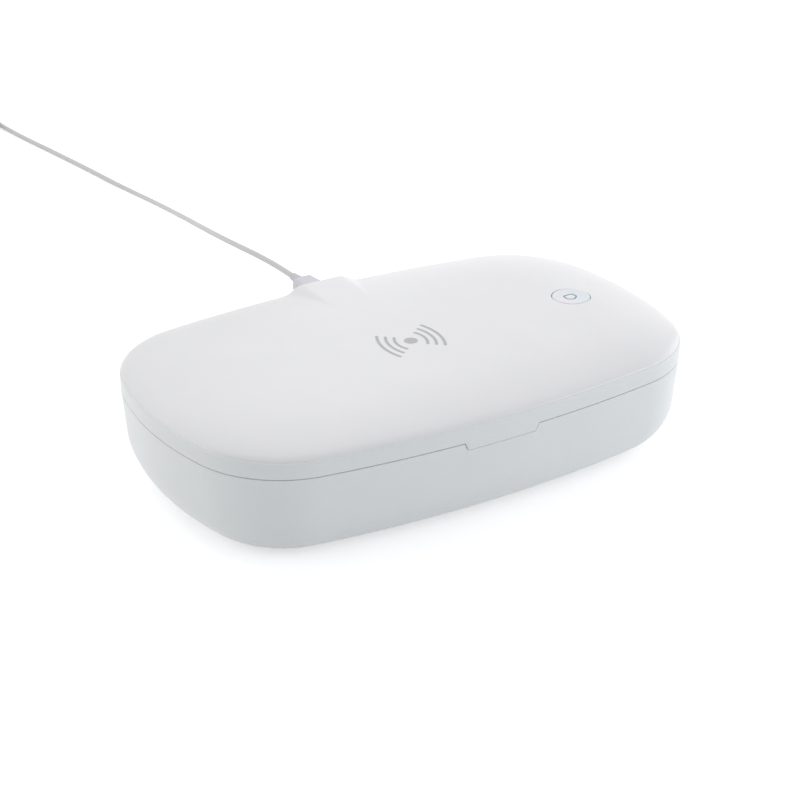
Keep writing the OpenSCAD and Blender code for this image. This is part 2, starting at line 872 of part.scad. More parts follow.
// A dished cap with a skirt, a lip that catches under the cover, and a stem on the switch
module button_cap() {
    top = box_h + button_up;
    under = top - cap_t;
    lip_low = lip_top - cap_lip_t;
    dish = 0.15;
    color("#F3F7FA")
    in_frame()
        translate([button_x, button_y, 0])
            rotate_extrude($fn = 96)
                polygon([[0, top - dish], [button_r * 0.55, top - dish * 0.7],
                    [button_r - 0.5, top], [button_r, top - 0.4], [button_r, lip_top],
                    [button_r + cap_lip, lip_top], [button_r + cap_lip, lip_low],
                    [button_r - cap_skirt, lip_low], [button_r - cap_skirt, under],
                    [cap_stem_r, under], [cap_stem_r, plunger_top], [0, plunger_top]]);
}

module switch_plunger()
    color("#E8E8E8")
    in_frame()
        translate([button_x, button_y, button_board_z + control_t + plunger_foot])
            cylinder(r = plunger_r, h = plunger_top - button_board_z - control_t - plunger_foot, $fn = smooth);

// ---- Lead ----

module rounded_box(w, h, r)
    for (x = [-1, 1])
        for (z = [-1, 1])
            translate([x * (w / 2 - r), z * (h / 2 - r)])
                circle(r = r, $fn = 32);

// The charging plug's grip: a rounded bar that narrows to the rear, with finger ribs
module plug_grip() {
    neck = 0.75;
    radius = 2.4;
    ribs = 3;
    color("#EEF0F2")
    in_frame()
        difference() {
            intersection() {
                front_extrude(plug_y, plug_y + grip_l)
                    translate([0, port_z])
                        rounded_bar(grip_w, grip_h, radius);
                translate([0, plug_y, 0])
                    linear_extrude(box_h + 10)
                        polygon([[-grip_w / 2, 0], [-grip_w / 2, grip_l * 0.45],
                            [-grip_w / 2 * 0.94, grip_l * 0.75], [-grip_w / 2 * neck, grip_l],
                            [grip_w / 2 * neck, grip_l], [grip_w / 2 * 0.94, grip_l * 0.75],
                            [grip_w / 2, grip_l * 0.45], [grip_w / 2, 0]]);
            }
            for (i = [0:ribs - 1], x = [-1, 1])
                translate([x * (grip_w / 2 + 0.35), plug_y + grip_l * 0.2 + i * 1.8, 0])
                    cylinder(r = 0.6, h = box_h, $fn = 24);
        }
}

module rounded_bar(w, h, r) {
    square([w - 2 * r, h], center = true);
    square([w, h - 2 * r], center = true);
    rounded_box(w, h, r);
}

// The plug's tip, a thin shell that reaches into the port round its tongue
module plug_shell() {
    reach = plug_y - half_w + wall + 0.1 + socket_l - socket_back;
    color("#C8CBCD")
    in_frame()
        difference() {
            translate([-tip_w / 2, plug_y - reach, port_z - tip_h / 2])
                cube([tip_w, reach, tip_h]);
            translate([-tip_w / 2 + tip_t, plug_y - reach - 1, port_z - tip_h / 2 + tip_t])
                cube([tip_w - 2 * tip_t, reach, tip_h - 2 * tip_t]);
        }
}

// A tapered sleeve with three grooves, turned about the lead
module relief(start_r, end_r, length) {
    groove = length / 8;
    rotate([-90, 0, 0])
        rotate_extrude($fn = 48)
            polygon(concat([[0, 0]],
                [for (i = [0:7]) let (t = i / 8, r = start_r + (end_r - start_r) * t)
                    [r - (i % 2 == 1 && i > 1 ? 0.3 : 0), groove * i]],
                [[end_r, length], [0, length]]));
}

module bend_relief()
    color("#EEF0F2")
    in_frame()
        translate([0, plug_y + grip_l, port_z])
            relief(2.4, cord_r + 0.4, relief_l);

// Points of a smooth curve through a list of points, with steps between each pair
function between(a, b, c, d, t) =
    0.5 * (2 * b + (c - a) * t + (2 * a - 5 * b + 4 * c - d) * t * t
        + (3 * b - a - 3 * c + d) * t * t * t);
function curve(p, steps) = concat(
    [for (i = [0:len(p) - 2], k = [0:steps - 1])
        between(p[max(i - 1, 0)], p[i], p[i + 1], p[min(i + 2, len(p) - 1)], k / steps)],
    [p[len(p) - 1]]);
function length_of(p) = len(p) < 2 ? 0 : sum([for (i = [1:len(p) - 1]) norm(p[i] - p[i - 1])]);
function sum(v, i = 0) = i < len(v) ? v[i] + sum(v, i + 1) : 0;
function unit(v) = v / norm(v);

// A tube of triangles along a list of points, square to its first and last directions
module tube(path, r, sides, first, last) {
    n = len(path);
    ways = [for (i = [0:n - 1])
        i == 0 ? unit(first) : i == n - 1 ? unit(last) : unit(path[i + 1] - path[i - 1])];
    points = [for (i = [0:n - 1])
        let (across = unit(cross(ways[i], [0, 0, 1])), up = cross(across, ways[i]))
        for (k = [0:sides - 1]) let (a = 360 * (k + 0.5) / sides)
            path[i] + r * (cos(a) * across + sin(a) * up)];
    sides_of_tube = [for (i = [0:n - 2], k = [0:sides - 1])
        let (a = i * sides + k, b = i * sides + (k + 1) % sides)
        for (half = [0, 1]) half == 0 ? [a, a + sides, b] : [b, a + sides, b + sides]];
    ends = [for (k = [1:sides - 2]) for (half = [0, 1])
        half == 0 ? [0, k, k + 1] : [(n - 1) * sides, (n - 1) * sides + k + 1, (n - 1) * sides + k]];
    polyhedron(points, concat(sides_of_tube, ends), convexity = 10);
}

lead_path = curve([for (p = route) [p[0], p[1] + lead_shift, cord_r + (p[2] - 1.2) * lead_rise]],
    route_steps);

module lead_stretch()
    color("#E9EAEC")
    tube(lead_path, cord_r, 8, [0, 1, 0], [0, 1, 0]);

// The put-away coil: piled loops that spiral in and out by one step a turn, and climb a layer
// in the half turn where the spiral reverses. It starts and ends straight for one diameter.
function layer_at(t) = min(floor(t / turns_in_layer), layers - 1);
function coil_radius(t) =
    let (k = layer_at(t), u = t - k * turns_in_layer)
    coil_start_r - turn_step * (k % 2 == 0 ? u : turns_in_layer - u);
function coil_height(t) = lead_z + turn_step * sum([for (k = [1:layers - 1])
    1 - ease(max(0, min(1, (t - k * turns_in_layer) / 0.5 + 0.5)))]);
function coil_point(t) = [coil_x + coil_radius(t) * cos(360 * t),
    coil_y + coil_radius(t) * sin(360 * t), coil_height(t)];
coil_count = round(turns * coil_rings);
coil_turns = [for (i = [0:coil_count]) coil_point(i / coil_rings)];
coil_exit = coil_turns[coil_count];
coil_path = concat([coil_turns[0] - [0, cord_d, 0]], coil_turns, [coil_exit - [cord_d, 0, 0]]);

// Least gap between turns, measured from points at least half a turn apart
function gap_from(i) = min([for (j = [i + coil_rings / 2:coil_count])
    norm(coil_turns[i] - coil_turns[j])]);
coil_gap = min([for (i = [0:coil_count - coil_rings / 2]) gap_from(i)]) - cord_d;

module lead_coil() {
    echo(coil_self_gap = coil_gap, coil_length = length_of(coil_path));
    echo(stretch_length = length_of(lead_path), tail_length = length_of(tail_path));
    color("#E9EAEC")
        tube(coil_path, cord_r, 6, [0, 1, 0], [-1, 0, 0]);
}

// A soft strap round the coil's turns, which lie on it
module lead_tie() {
    inner = turn_r - turns_in_layer * turn_step / 2 - cord_r - tie_room;
    outer = coil_start_r + cord_r + tie_room;
    top = coil_top_z + cord_r + tie_room;
    color("#D5D7DA")
        translate([coil_x, coil_y, 0])
            rotate([0, 0, tie_angle])
                translate([0, tie_w / 2, 0])
                    rotate([90, 0, 0])
                        linear_extrude(tie_w)
                            difference() {
                                translate([inner - tie_t, 0])
                                    square([outer - inner + 2 * tie_t, top + tie_t]);
                                translate([inner, tie_t])
                                    square([outer - inner, top - tie_t]);
                            }
}

tail_start = coil_exit - [cord_d, 0, 0];
tail_path = curve([for (p = tail) tail_start + [p[0], p[1], p[2] * tail_drop]], 2);
tail_end = tail_path[len(tail_path) - 1];

module lead_tail()
    color("#E9EAEC")
    tube(tail_path, cord_r, 8, [-1, 0, 0], [0, -1, 0]);

// The far plug lies on the surface behind the coil's left side and points to the front
far_y = tail_end[1] - far_relief_l;
far_z = far_h / 2;

module far_relief()
    color("#EEF0F2")
        translate([tail_end[0], far_y, far_z])
            relief(2.4, cord_r + 0.4, far_relief_l);

module far_grip()
    color("#EEF0F2")
        translate([tail_end[0], far_y, far_z])
            front_extrude(-far_l, 0)
                rounded_bar(far_w, far_h, 2);

module far_shell()
    color("#C8CBCD")
        translate([tail_end[0], far_y - far_l - far_shell_l, far_z])
            difference() {
                translate([-far_shell_w / 2, 0, -far_shell_h / 2])
                    cube([far_shell_w, far_shell_l, far_shell_h]);
                translate([-far_shell_w / 2 + sheet_t, -1, -far_shell_h / 2 + sheet_t])
                    cube([far_shell_w - 2 * sheet_t, far_shell_l, far_shell_h - 2 * sheet_t]);
                for (x = [-1, 1])
                    translate([x * far_shell_w / 4 - 1.1, far_shell_l * 0.4, 0])
                        cube([2.2, 2.2, far_shell_h]);
            }

module far_tongue()
    color("#E8EAEB")
        translate([tail_end[0], far_y - far_l - far_shell_l, far_z])
            translate([-far_shell_w / 2 + sheet_t, 0.6, -far_shell_h / 2 + sheet_t])
                cube([far_shell_w - 2 * sheet_t, far_shell_l - 1.6, 1.8]);

base_shell();
phone_tray();
phone_rest();
base_magnets();
interlock_magnet();
feet();
base_screws();
hinge_pins();
lid_frame();
lid_cover();
lid_insert();
lid_screws();
lid_magnets();
lamp_boards();
uv_lamps();
lamp_windows();
charging_coil();
ferrite_disc();
control_board();
port_socket();
button_board();
switch_body();
status_lights();
button_cap();
switch_plunger();
plug_grip();
plug_shell();
bend_relief();
lead_stretch();
lead_coil();
lead_tie();
lead_tail();
far_relief();
far_grip();
far_shell();
far_tongue();
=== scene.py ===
"""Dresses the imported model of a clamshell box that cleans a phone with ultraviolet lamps.

Everything is in metres in the model's own frame: X along the box to the button's end, Y to the
hinge at the rear, Z up from the surface that the feet stand on. Sizes are written in millimetres
and turned to metres by MM.
"""

import math

import bpy
import numpy as np
from mathutils import Matrix, Vector


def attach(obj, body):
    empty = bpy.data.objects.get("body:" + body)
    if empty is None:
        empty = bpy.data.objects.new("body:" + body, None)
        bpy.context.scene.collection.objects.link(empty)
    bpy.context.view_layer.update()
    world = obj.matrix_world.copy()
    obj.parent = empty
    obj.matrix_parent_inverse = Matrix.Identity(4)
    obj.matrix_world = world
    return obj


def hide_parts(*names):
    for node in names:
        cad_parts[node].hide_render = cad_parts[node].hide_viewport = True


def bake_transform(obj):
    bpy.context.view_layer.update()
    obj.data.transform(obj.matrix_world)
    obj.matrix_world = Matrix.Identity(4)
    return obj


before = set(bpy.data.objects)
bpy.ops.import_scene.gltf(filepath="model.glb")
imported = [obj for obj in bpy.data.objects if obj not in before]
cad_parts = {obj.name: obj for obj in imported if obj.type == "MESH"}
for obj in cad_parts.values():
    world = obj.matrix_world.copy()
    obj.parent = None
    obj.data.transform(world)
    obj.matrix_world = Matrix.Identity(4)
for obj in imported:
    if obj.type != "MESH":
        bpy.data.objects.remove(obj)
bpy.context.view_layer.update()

bl_info = {
    "name": "Phone sanitizer box",
    "version": (1, 0, 0),
    "blender": (4, 5, 0),
    "location": "View3D > Sidebar > Sanitizer box",
    "description": "Builds the shells, the lead, the marks, the finishes and the stage of the box",
    "category": "Object",
}

MM = 0.001
SHARP = 32.0  # edges sharper than this are drawn as edges, degrees
MID_Y = 3.2  # how far the box's own middle lies in front of the frame's origin, mm
HINGE = (67.3, 36.6)  # y and z of the hinge line, mm
KNUCKLE_R = 3.0  # radius of the hinge's barrels, mm
PORT = (0.0, 64.2, 40.9)  # where the charging plug's grip begins, mm
SCREWS = [(x, y) for x in (-60, 60) for y in (-27.2, 20.8)]  # x and y of the base screws, mm
FEET = [(x, y) for x in (-70, 70) for y in (-35.2, 28.8)]  # x and y of the feet, mm
MAGNETS = [(-52, -57.6), (52, -57.6), (98.2, -3.2)]  # x and y of the magnets in the tray, mm
EDGE = 0.12 * MM  # rounding of the shells' edges at the seam


# ---- sizes and colours that a user would change ----


def millimetres(name, description, default, low=0.0, high=500.0):
    """A length property, stored in metres and given here in millimetres."""
    return bpy.props.FloatProperty(
        name=name,
        description=description,
        default=default * MM,
        min=low * MM,
        max=high * MM,
        subtype="DISTANCE",
        unit="LENGTH",
        precision=4,
    )


def ratio(name, description, default):
    """A property that is a ratio."""
    return bpy.props.FloatProperty(
        name=name, description=description, default=default, min=0, max=2, subtype="FACTOR"
    )


def linear(value):
    """An sRGB hex colour such as "#F4F5F6" as linear RGBA."""
    parts = [int(value[i : i + 2], 16) / 255 for i in (1, 3, 5)]
    return [c / 12.92 if c <= 0.04045 else ((c + 0.055) / 1.055) ** 2.4 for c in parts] + [1.0]


def paint(name, description, value):
    """A colour property, given as sRGB hex."""
    return bpy.props.FloatVectorProperty(
        name=name, description=description, default=linear(value), size=4, min=0, max=1, subtype="COLOR"
    )


class BoxShape(bpy.types.PropertyGroup):
    corner_x: millimetres("Corner centre X", "Centre of a corner arc, along the box", 65)
    corner_y: millimetres("Corner centre Y", "Centre of a corner arc, across the box", 22.4)
    corner_r: millimetres("Corner radius", "Plan radius of the corners", 39.7)
    side_step: millimetres("Side step", "1/85 of what the side arcs' radius has over the corners'", 5)
    end_step: millimetres("End step", "1/65 of what the end arcs' radius has over the corners'", 1.4)
    floor: millimetres("Underside", "Height of the underside above the surface it stands on", 0.8)
    rim: millimetres("Base rim", "Height of the base's upper edge", 36.3)
    seam: millimetres("Seam", "Height of the lid's lower edge", 36.6)
    ledge: millimetres("Cover joint", "Height of the joint between the lid's band and its cover", 42.8)
    top: millimetres("Top", "Height of the lid's flat top", 48.0)
    wall: millimetres("Wall", "Thickness of the outer walls", 2.2)
    bottom_r: millimetres("Bottom radius", "Radius between the base's sides and its underside", 18.5)
    crown_w: millimetres("Crown width", "Width of the domed edge in plan", 32.5)
    cover_step: millimetres("Cover step", "Step in from the band to the cover", 0.6)
    tab_w: millimetres("Tab width", "Width of the opening tab at the seam", 32)
    tab_drop: millimetres("Tab drop", "How far the tab hangs below the seam", 3)
    tab_slant: millimetres("Tab slant", "How much each end of the tab slants in", 1.5)
    draft: ratio("Draft", "How far the base leans in for each unit of height", 0.08)
    hump_top: millimetres("Housing top", "Half width of the flat top over the charging port", 8.2)
    hump_root: millimetres("Housing root", "Half width of the port housing at the joint", 20.5)
    hump_round: millimetres("Housing edge", "Radius of the housing's upper rear edge", 2.7)


class ButtonShape(bpy.types.PropertyGroup):
    place_x: millimetres("Centre X", "Centre of the button, along the box", 77)
    place_y: millimetres("Centre Y", "Centre of the button, across the box", -4.2, -50)
    radius: millimetres("Radius", "Radius of the button", 7.6)
    gap: millimetres("Gap", "Gap round the button", 0.3)
    stand: millimetres("Stand", "How far the button stands out of the lid", 0.1)
    icon: millimetres("Mark size", "Half length of the mark on the button", 2.7)
    icon_line: millimetres("Mark line", "Width of the mark's line", 0.48)


class MarkShape(bpy.types.PropertyGroup):
    place_x: millimetres("Centre X", "Centre of the wireless mark, along the box", 0.3, -50)
    place_y: millimetres("Centre Y", "Centre of the wireless mark, across the box", -7.0, -50)
    dot: millimetres("Dot", "Radius of the mark's dot", 2.65)
    first: millimetres("First arc", "Distance from the dot's centre to the innermost arcs", 6.1)
    step: millimetres("Arc step", "Distance from arc to arc", 3.05)
    first_r: millimetres("First radius", "Radius of the innermost arcs", 10.6)
    step_r: millimetres("Radius step", "How much the radius grows from arc to arc", 6.5)
    first_half: millimetres("First half length", "Half the chord of the innermost arcs", 5.4)
    step_half: millimetres("Half length step", "How much half the chord grows from arc to arc", 2.25)
    line: millimetres("Line", "Width of the arcs' line", 1.25)
    lean: ratio("Lean", "How far the arcs lean to the right for each unit of height", 0.08)


class LeadShape(bpy.types.PropertyGroup):
    diameter: millimetres("Diameter", "Diameter of the lead", 2.4)
    grip_w: millimetres("Grip width", "Width of the charging plug's grip at the lead's end", 9.4)
    grip_flare: millimetres("Grip flare", "How much wider the grip is at the box", 2.4)
    grip_h: millimetres("Grip height", "Height of the charging plug's grip", 6.8)
    grip_l: millimetres("Grip length", "Length of the charging plug's grip", 13)
    relief_l: millimetres("Relief length", "Length of the bend relief behind the grip", 8)
    turn_step: millimetres("Turn step", "Distance between the coil's turns", 3)
    turn_r: millimetres("Coil radius", "Radius of the put-away coil at mid-turn", 13.9)
    turns: bpy.props.FloatProperty(
        name="Turns", description="Turns in the put-away coil", default=12.25, min=1, max=24
    )
    layers: bpy.props.IntProperty(
        name="Layers", description="Layers in the put-away coil", default=4, min=2, max=4
    )


class Finishes(bpy.types.PropertyGroup):
    shell: paint("Shell", "White of the base and of the lid's band", "#EFF3F3")
    cover: paint("Cover", "White of the lid's cover", "#F4F4F5")
    button: paint("Button", "White of the button at its left", "#F5F3F8")
    # Painted glow: the blue that the button's lamps give it is painted into the cap's colour; the cap gives
    # no light.
    glow: paint("Button glow", "White of the button where its lamps give it a trace of blue", "#EDF3F9")
    ink: paint("Wireless mark", "Grey ink of the wireless mark", "#C4C4C5")
    icon_ink: paint("Button mark", "Dark ink of the mark on the button", "#6B667F")
    lead: paint("Lead", "White of the lead's jacket, greyer than the box", "#D7D7D8")
    plug: paint("Plug", "White of the plugs' grips, with a trace of lilac", "#DFDDE3")
    liner: paint("Liner", "Metal film of the tray and of the lid insert", "#DADCDE")


def watts(name, description, default):
    """A lamp's power property."""
    return bpy.props.FloatProperty(
        name=name, description=description, default=default, min=0, max=100, subtype="POWER", unit="POWER"
    )


class Light(bpy.types.PropertyGroup):
    ambient: ratio("Ambient", "Strength of the even light", 0.52)
    above: watts("Above", "Power of the softbox above and behind", 2.27)
    left: watts("Left", "Power of the softbox at the left", 1.77)
    right: watts("Right", "Power of the softbox at the right end", 2.0)
    front: watts("Front", "Power of the low softbox at the front right", 3.0)
    rear: watts("Rear", "Power of the low softbox at the rear right", 0.72)


# ---- surfaces ----


def arc_outline(shape):
    """The box's outline at inset 0 as points, with outward normals, both N x 2, counter-clockwise.

    Each of the eight arcs is centre + radius * (cos a, sin a) over its own span of angles. The side
    arcs are sampled by x, closely at the middle, where the tab and the port housing are.
    """
    cx, cy, r = shape.corner_x, shape.corner_y, shape.corner_r
    long_r = r + 85 * shape.side_step
    long_y = cy - 84 * shape.side_step
    end_r = r + 65 * shape.end_step
    end_x = cx - 63 * shape.end_step
    steep, flat = math.atan2(84, 13), math.atan2(16, 63)
    half = shape.tab_w / 2
    fine = np.arange(-20, 20.01, 0.5) * MM
    marks = np.array([half, half - shape.tab_slant, half + 0.15 * MM, half - shape.tab_slant + 0.15 * MM])
    coarse = np.linspace(20.8 * MM, long_r * math.cos(steep), 34)
    xs = np.unique(np.round(np.concatenate([fine, marks, -marks, coarse, -coarse]), 7))
    side = np.arccos(xs[::-1] / long_r)
    end = np.linspace(-flat, flat, 36)
    corner = np.linspace(flat, steep, 56)[1:-1]
    points, normals = [], []
    for x, y, radius, angles in (
        (end_x, 0.0, end_r, end),
        (cx, cy, r, corner),
        (0.0, long_y, long_r, side),
        (-cx, cy, r, math.pi - corner[::-1]),
        (-end_x, 0.0, end_r, math.pi + end),
        (-cx, -cy, r, math.pi + corner),
        (0.0, -long_y, long_r, -side[::-1]),
        (cx, -cy, r, -corner[::-1]),
    ):
        way = np.stack([np.cos(angles), np.sin(angles)], 1)
        points.append(np.array([x, y]) + radius * way)
        normals.append(way)
    points = np.concatenate(points)
    points[:, 1] -= MID_Y * MM
    return points, np.concatenate(normals)


def rings_from(points, normals, profile):
    """Rings of the outline, M x N x 3: ring m is the outline drawn inset[m] further in, at z[m].

    A profile entry is (inset, z, share). With share under 1 the ring is drawn towards the middle by
    that factor, which fills a flat face.
    """
    inset = np.array([p[0] for p in profile])[:, None, None]
    z = np.array([p[1] for p in profile])[:, None, None]
    share = np.array([p[2] if len(p) > 2 else 1.0 for p in profile])[:, None, None]
    middle = np.array([0.0, -MID_Y * MM])
    flat = (points - middle)[None] - normals[None] * inset
    flat = flat * share + middle
    return np.concatenate([flat, np.broadcast_to(z, flat.shape[:2] + (1,))], 2)


def mesh_object(name, vertices, faces, sharp=SHARP):
    """A mesh object at the origin, shaded smooth except over edges sharper than that many degrees."""
    mesh = bpy.data.meshes.new(name)
    mesh.from_pydata(vertices.tolist(), [], faces)
    mesh.update()
    mesh.polygons.foreach_set("use_smooth", np.ones(len(mesh.polygons), bool))
    mesh.set_sharp_from_angle(angle=math.radians(sharp))
    thing = bpy.data.objects.new(name, mesh)
    bpy.context.scene.collection.objects.link(thing)
    return thing


def grid_faces(rows, columns, hoop):
    """Quads of a grid whose columns close on themselves, and whose rows close in a hoop."""
    i = np.arange(rows if hoop else rows - 1)[:, None]
    j = np.arange(columns)[None]
    below, right = (i + 1) % rows, (j + 1) % columns
    corners = [i * columns + j, i * columns + right, below * columns + right, below * columns + j]
    return np.stack(corners, -1).reshape(-1, 4).tolist()


def fan_faces(ring_start, columns, centre, turned):
    """Triangles from a ring to its centre vertex."""
    j = np.arange(columns)
    a, b = ring_start + j, ring_start + (j + 1) % columns
    order = [b, a] if turned else [a, b]
    return np.stack(order + [np.full(columns, centre)], -1).tolist()


def loft(name, rings, hoop=False, sharp=SHARP):
    """A closed surface through rings: capped at both ends by centre points, or joined end to end
    as a hoop."""
    rows, columns = rings.shape[:2]
    vertices = rings.reshape(-1, 3)
    faces = grid_faces(rows, columns, hoop)
    if not hoop:
        count = rows * columns
        vertices = np.concatenate([vertices, [rings[0].mean(0), rings[-1].mean(0)]])
        faces += fan_faces(0, columns, count, True)
        faces += fan_faces((rows - 1) * columns, columns, count + 1, False)
    return outward_mesh(name, vertices, faces, sharp)


def outward_mesh(name, vertices, faces, sharp):
    """A closed mesh whose faces are turned outwards by the sign of its volume."""
    if signed_volume(vertices, faces) < 0:
        faces = [face[::-1] for face in faces]
    return mesh_object(name, vertices, faces, sharp)


def signed_volume(vertices, faces):
    """Volume of a closed mesh: the sum over its fan triangles of a . (b x c) / 6."""
    triangles = [(f[0], f[k], f[k + 1]) for f in faces for k in range(1, len(f) - 1)]
    a, b, c = (vertices[np.array(triangles)[:, k]] for k in range(3))
    return float((a * np.cross(b, c)).sum() / 6)


def lathe(name, profile, centre, axis="Z", sides=96, hoop=False, sharp=SHARP):
    """A closed surface of revolution: profile is (radius, height) along the axis through centre,
    from end to end or as a closed section for a hoop; the point at angle a is
    centre + radius * (cos a, sin a) + height * axis."""
    turn = np.linspace(0, 2 * math.pi, sides, endpoint=False)
    r, h = np.array(profile).T[..., None]
    u, v, w = r * np.cos(turn), r * np.sin(turn), h + 0 * turn
    order = {"Z": (u, v, w), "Y": (v, w, u), "X": (w, u, v)}[axis]
    return loft(name, np.stack(order, -1) + np.array(centre), hoop, sharp)


def turned(name, profile, x, y, hoop=False, sides=48):
    """The same about z at (x, y), with everything in mm."""
    return lathe(name, np.array(profile) * MM, (x * MM, y * MM, 0.0), "Z", sides, hoop)


def box_section(low_r, high_r, low, high):
    """The section of a ring between two radii and two heights."""
    return [(low_r, low), (high_r, low), (high_r, high), (low_r, high)]


def rounding(edge, r):
    """How far a round of radius r draws a side in at that distance from its edge."""
    return r - np.sqrt(np.clip(r**2 - np.clip(r - edge, 0, r) ** 2, 0, None))


def prism(name, outline, low, high, axis="Z"):
    """A straight bar: outline's two coordinates are (x, y), (x, z) or (y, z), and it runs from low
    to high along the axis left over."""
    outline = np.asarray(outline, float)
    n = len(outline)

    def placed(value):
        level = np.full(n, value)
        a, b = outline[:, 0], outline[:, 1]
        return np.stack({"Z": (a, b, level), "Y": (a, level, b), "X": (level, a, b)}[axis], -1)

    vertices = np.concatenate([placed(low), placed(high)])
    faces = [[k, (k + 1) % n, n + (k + 1) % n, n + k] for k in range(n)]
    faces += [list(range(n))[::-1], list(range(n, 2 * n))]
    return outward_mesh(name, vertices, faces, SHARP)


def rounded_outline(width, height, radius, centre):
    """A rectangle with round corners as N x 2 points, counter-clockwise."""
    quarter = np.linspace(0, math.pi / 2, 10)
    corners = []
    for k, (sx, sy) in enumerate([(1, 1), (-1, 1), (-1, -1), (1, -1)]):
        a = quarter + k * math.pi / 2
        corners.append(np.stack([
            sx * (width / 2 - radius) + radius * np.cos(a),
            sy * (height / 2 - radius) + radius * np.sin(a),
        ], 1))
    return np.concatenate(corners) + np.array(centre)


def carried(name, y, width, height, radius, centre):
    """A rounded rectangle carried along y: its width, height and corner radius at each y, about
    centre's x and z, all in mm."""
    rings = []
    for level, *size in zip(y, width, height, radius):
        flat = rounded_outline(*size, centre)
        rings.append(np.column_stack([flat[:, 0], np.full(len(flat), level), flat[:, 1]]))
    return loft(name, np.array(rings) * MM)


def joined(name, parts, sharp=SHARP):
    """One mesh object from several, which are removed."""
    vertices, faces = [], []
    for part in parts:
        start = len(vertices)
        vertices += [tuple(v.co) for v in part.data.vertices]
        faces += [[start + k for k in p.vertices] for p in part.data.polygons]
        drop(part)
    return mesh_object(name, np.array(vertices), faces, sharp)


def drop(thing):
    """Removes an object and its mesh."""
    mesh = thing.data
    bpy.data.objects.remove(thing)
    bpy.data.meshes.remove(mesh)


def cut(thing, cutter, sharp=SHARP):
    """Takes the cutter's volume out of the piece, and removes the cutter."""
    modifier = thing.modifiers.new("cut", "BOOLEAN")
    modifier.operation = "DIFFERENCE"
    modifier.solver = "EXACT"
    modifier.object = cutter
    whole = bpy.context.evaluated_depsgraph_get()
    made = bpy.data.meshes.new_from_object(thing.evaluated_get(whole))
    if not len(made.polygons):
        raise RuntimeError(f"cutting {thing.name} left nothing")
    old = thing.data
    thing.modifiers.clear()
    thing.data = made
    bpy.data.meshes.remove(old)
    made.polygons.foreach_set("use_smooth", np.ones(len(made.polygons), bool))
    made.set_sharp_from_angle(angle=math.radians(sharp))
    drop(cutter)
    return thing


# ---- finishes ----


def add_node(tree, kind, settings=None, links=None):
    """Adds a node, sets its sockets or attributes by name, and links sockets from (node, socket)."""
    node = tree.nodes.new(kind)
    for key, value in (settings or {}).items():
        if key in node.inputs:
            node.inputs[key].default_value = value
        else:
            setattr(node, key, value)
    for key, (source, socket) in (links or {}).items():
        tree.links.new(source.outputs[socket], node.inputs[key])
    return node


def new_material(name):
    """An empty node material, with its tree and output node."""
    material = bpy.data.materials.new(name)
    material.use_nodes = True
    tree = material.node_tree
    tree.nodes.clear()
    return material, tree, add_node(tree, "ShaderNodeOutputMaterial")


def pattern(kind, settings, shift=(0.0, 0.0, 0.0)):
    """A texture for principled(): a function that adds it to a tree, on Object coordinates in
    metres moved by shift."""

    def added(tree):
        place = add_node(tree, "ShaderNodeTexCoord")
        moved = add_node(tree, "ShaderNodeMapping", {"Location": shift}, {"Vector": (place, "Object")})
        return add_node(tree, kind, settings, {"Vector": (moved, "Vector")})

    return added


def noise(size_mm, detail=2.0, roughness=0.5):
    """Noise with features of about that many millimetres."""
    return pattern(
        "ShaderNodeTexNoise", {"Scale": 1.0 / (size_mm * MM), "Detail": detail, "Roughness": roughness}
    )


def principled(name, settings, rough, relief, tone=None):
    """A Principled material. Over the middle of a pattern's values, rough = (pattern, low, high) is
    the roughness, relief = (pattern, height mm, strength) the bump, and tone = (pattern, colour,
    change) a colour that varies by that share, as mottled resin does."""
    material, tree, output = new_material(name)
    sources = dict.fromkeys(part[0] for part in (rough, relief, tone) if part)
    texture = {source: source(tree) for source in sources}
    middle = (0.3, 0.7)
    spread = {"From Min": middle[0], "From Max": middle[1], "To Min": rough[1], "To Max": rough[2]}
    depth = {"Distance": relief[1] * MM, "Strength": relief[2]}
    values = add_node(tree, "ShaderNodeMapRange", spread, {"Value": (texture[rough[0]], "Fac")})
    bump = add_node(tree, "ShaderNodeBump", depth, {"Height": (texture[relief[0]], "Fac")})
    links = {"Roughness": (values, "Result"), "Normal": (bump, "Normal")}
    if tone:
        ramp = add_node(tree, "ShaderNodeValToRGB", None, {"Fac": (texture[tone[0]], "Fac")})
        for stop, place, share in zip(ramp.color_ramp.elements, middle, (1 - tone[2], 1 + tone[2])):
            stop.position = place
            stop.color = [min(1, c * share) for c in tone[1][:3]] + [1]
        links["Base Color"] = (ramp, "Color")
    surface = add_node(tree, "ShaderNodeBsdfPrincipled", settings, links)
    tree.links.new(surface.outputs["BSDF"], output.inputs["Surface"])
    return material


def moulded_abs(name, colour, gloss=0.34):
    """ABS from a finely spark-eroded mould: a satin skin with an even, soft highlight. The grain
    is about 0.05 mm on the real box and is drawn as coarse as it needs to show."""
    grain = noise(0.35, 3.0, 0.6)
    return principled(
        name, {"IOR": 1.53, "Subsurface Weight": 0.04, "Subsurface Scale": 0.002},
        (grain, gloss - 0.03, gloss + 0.05), (grain, 0.02, 0.05), (noise(26.0), colour, 0.008),
    )


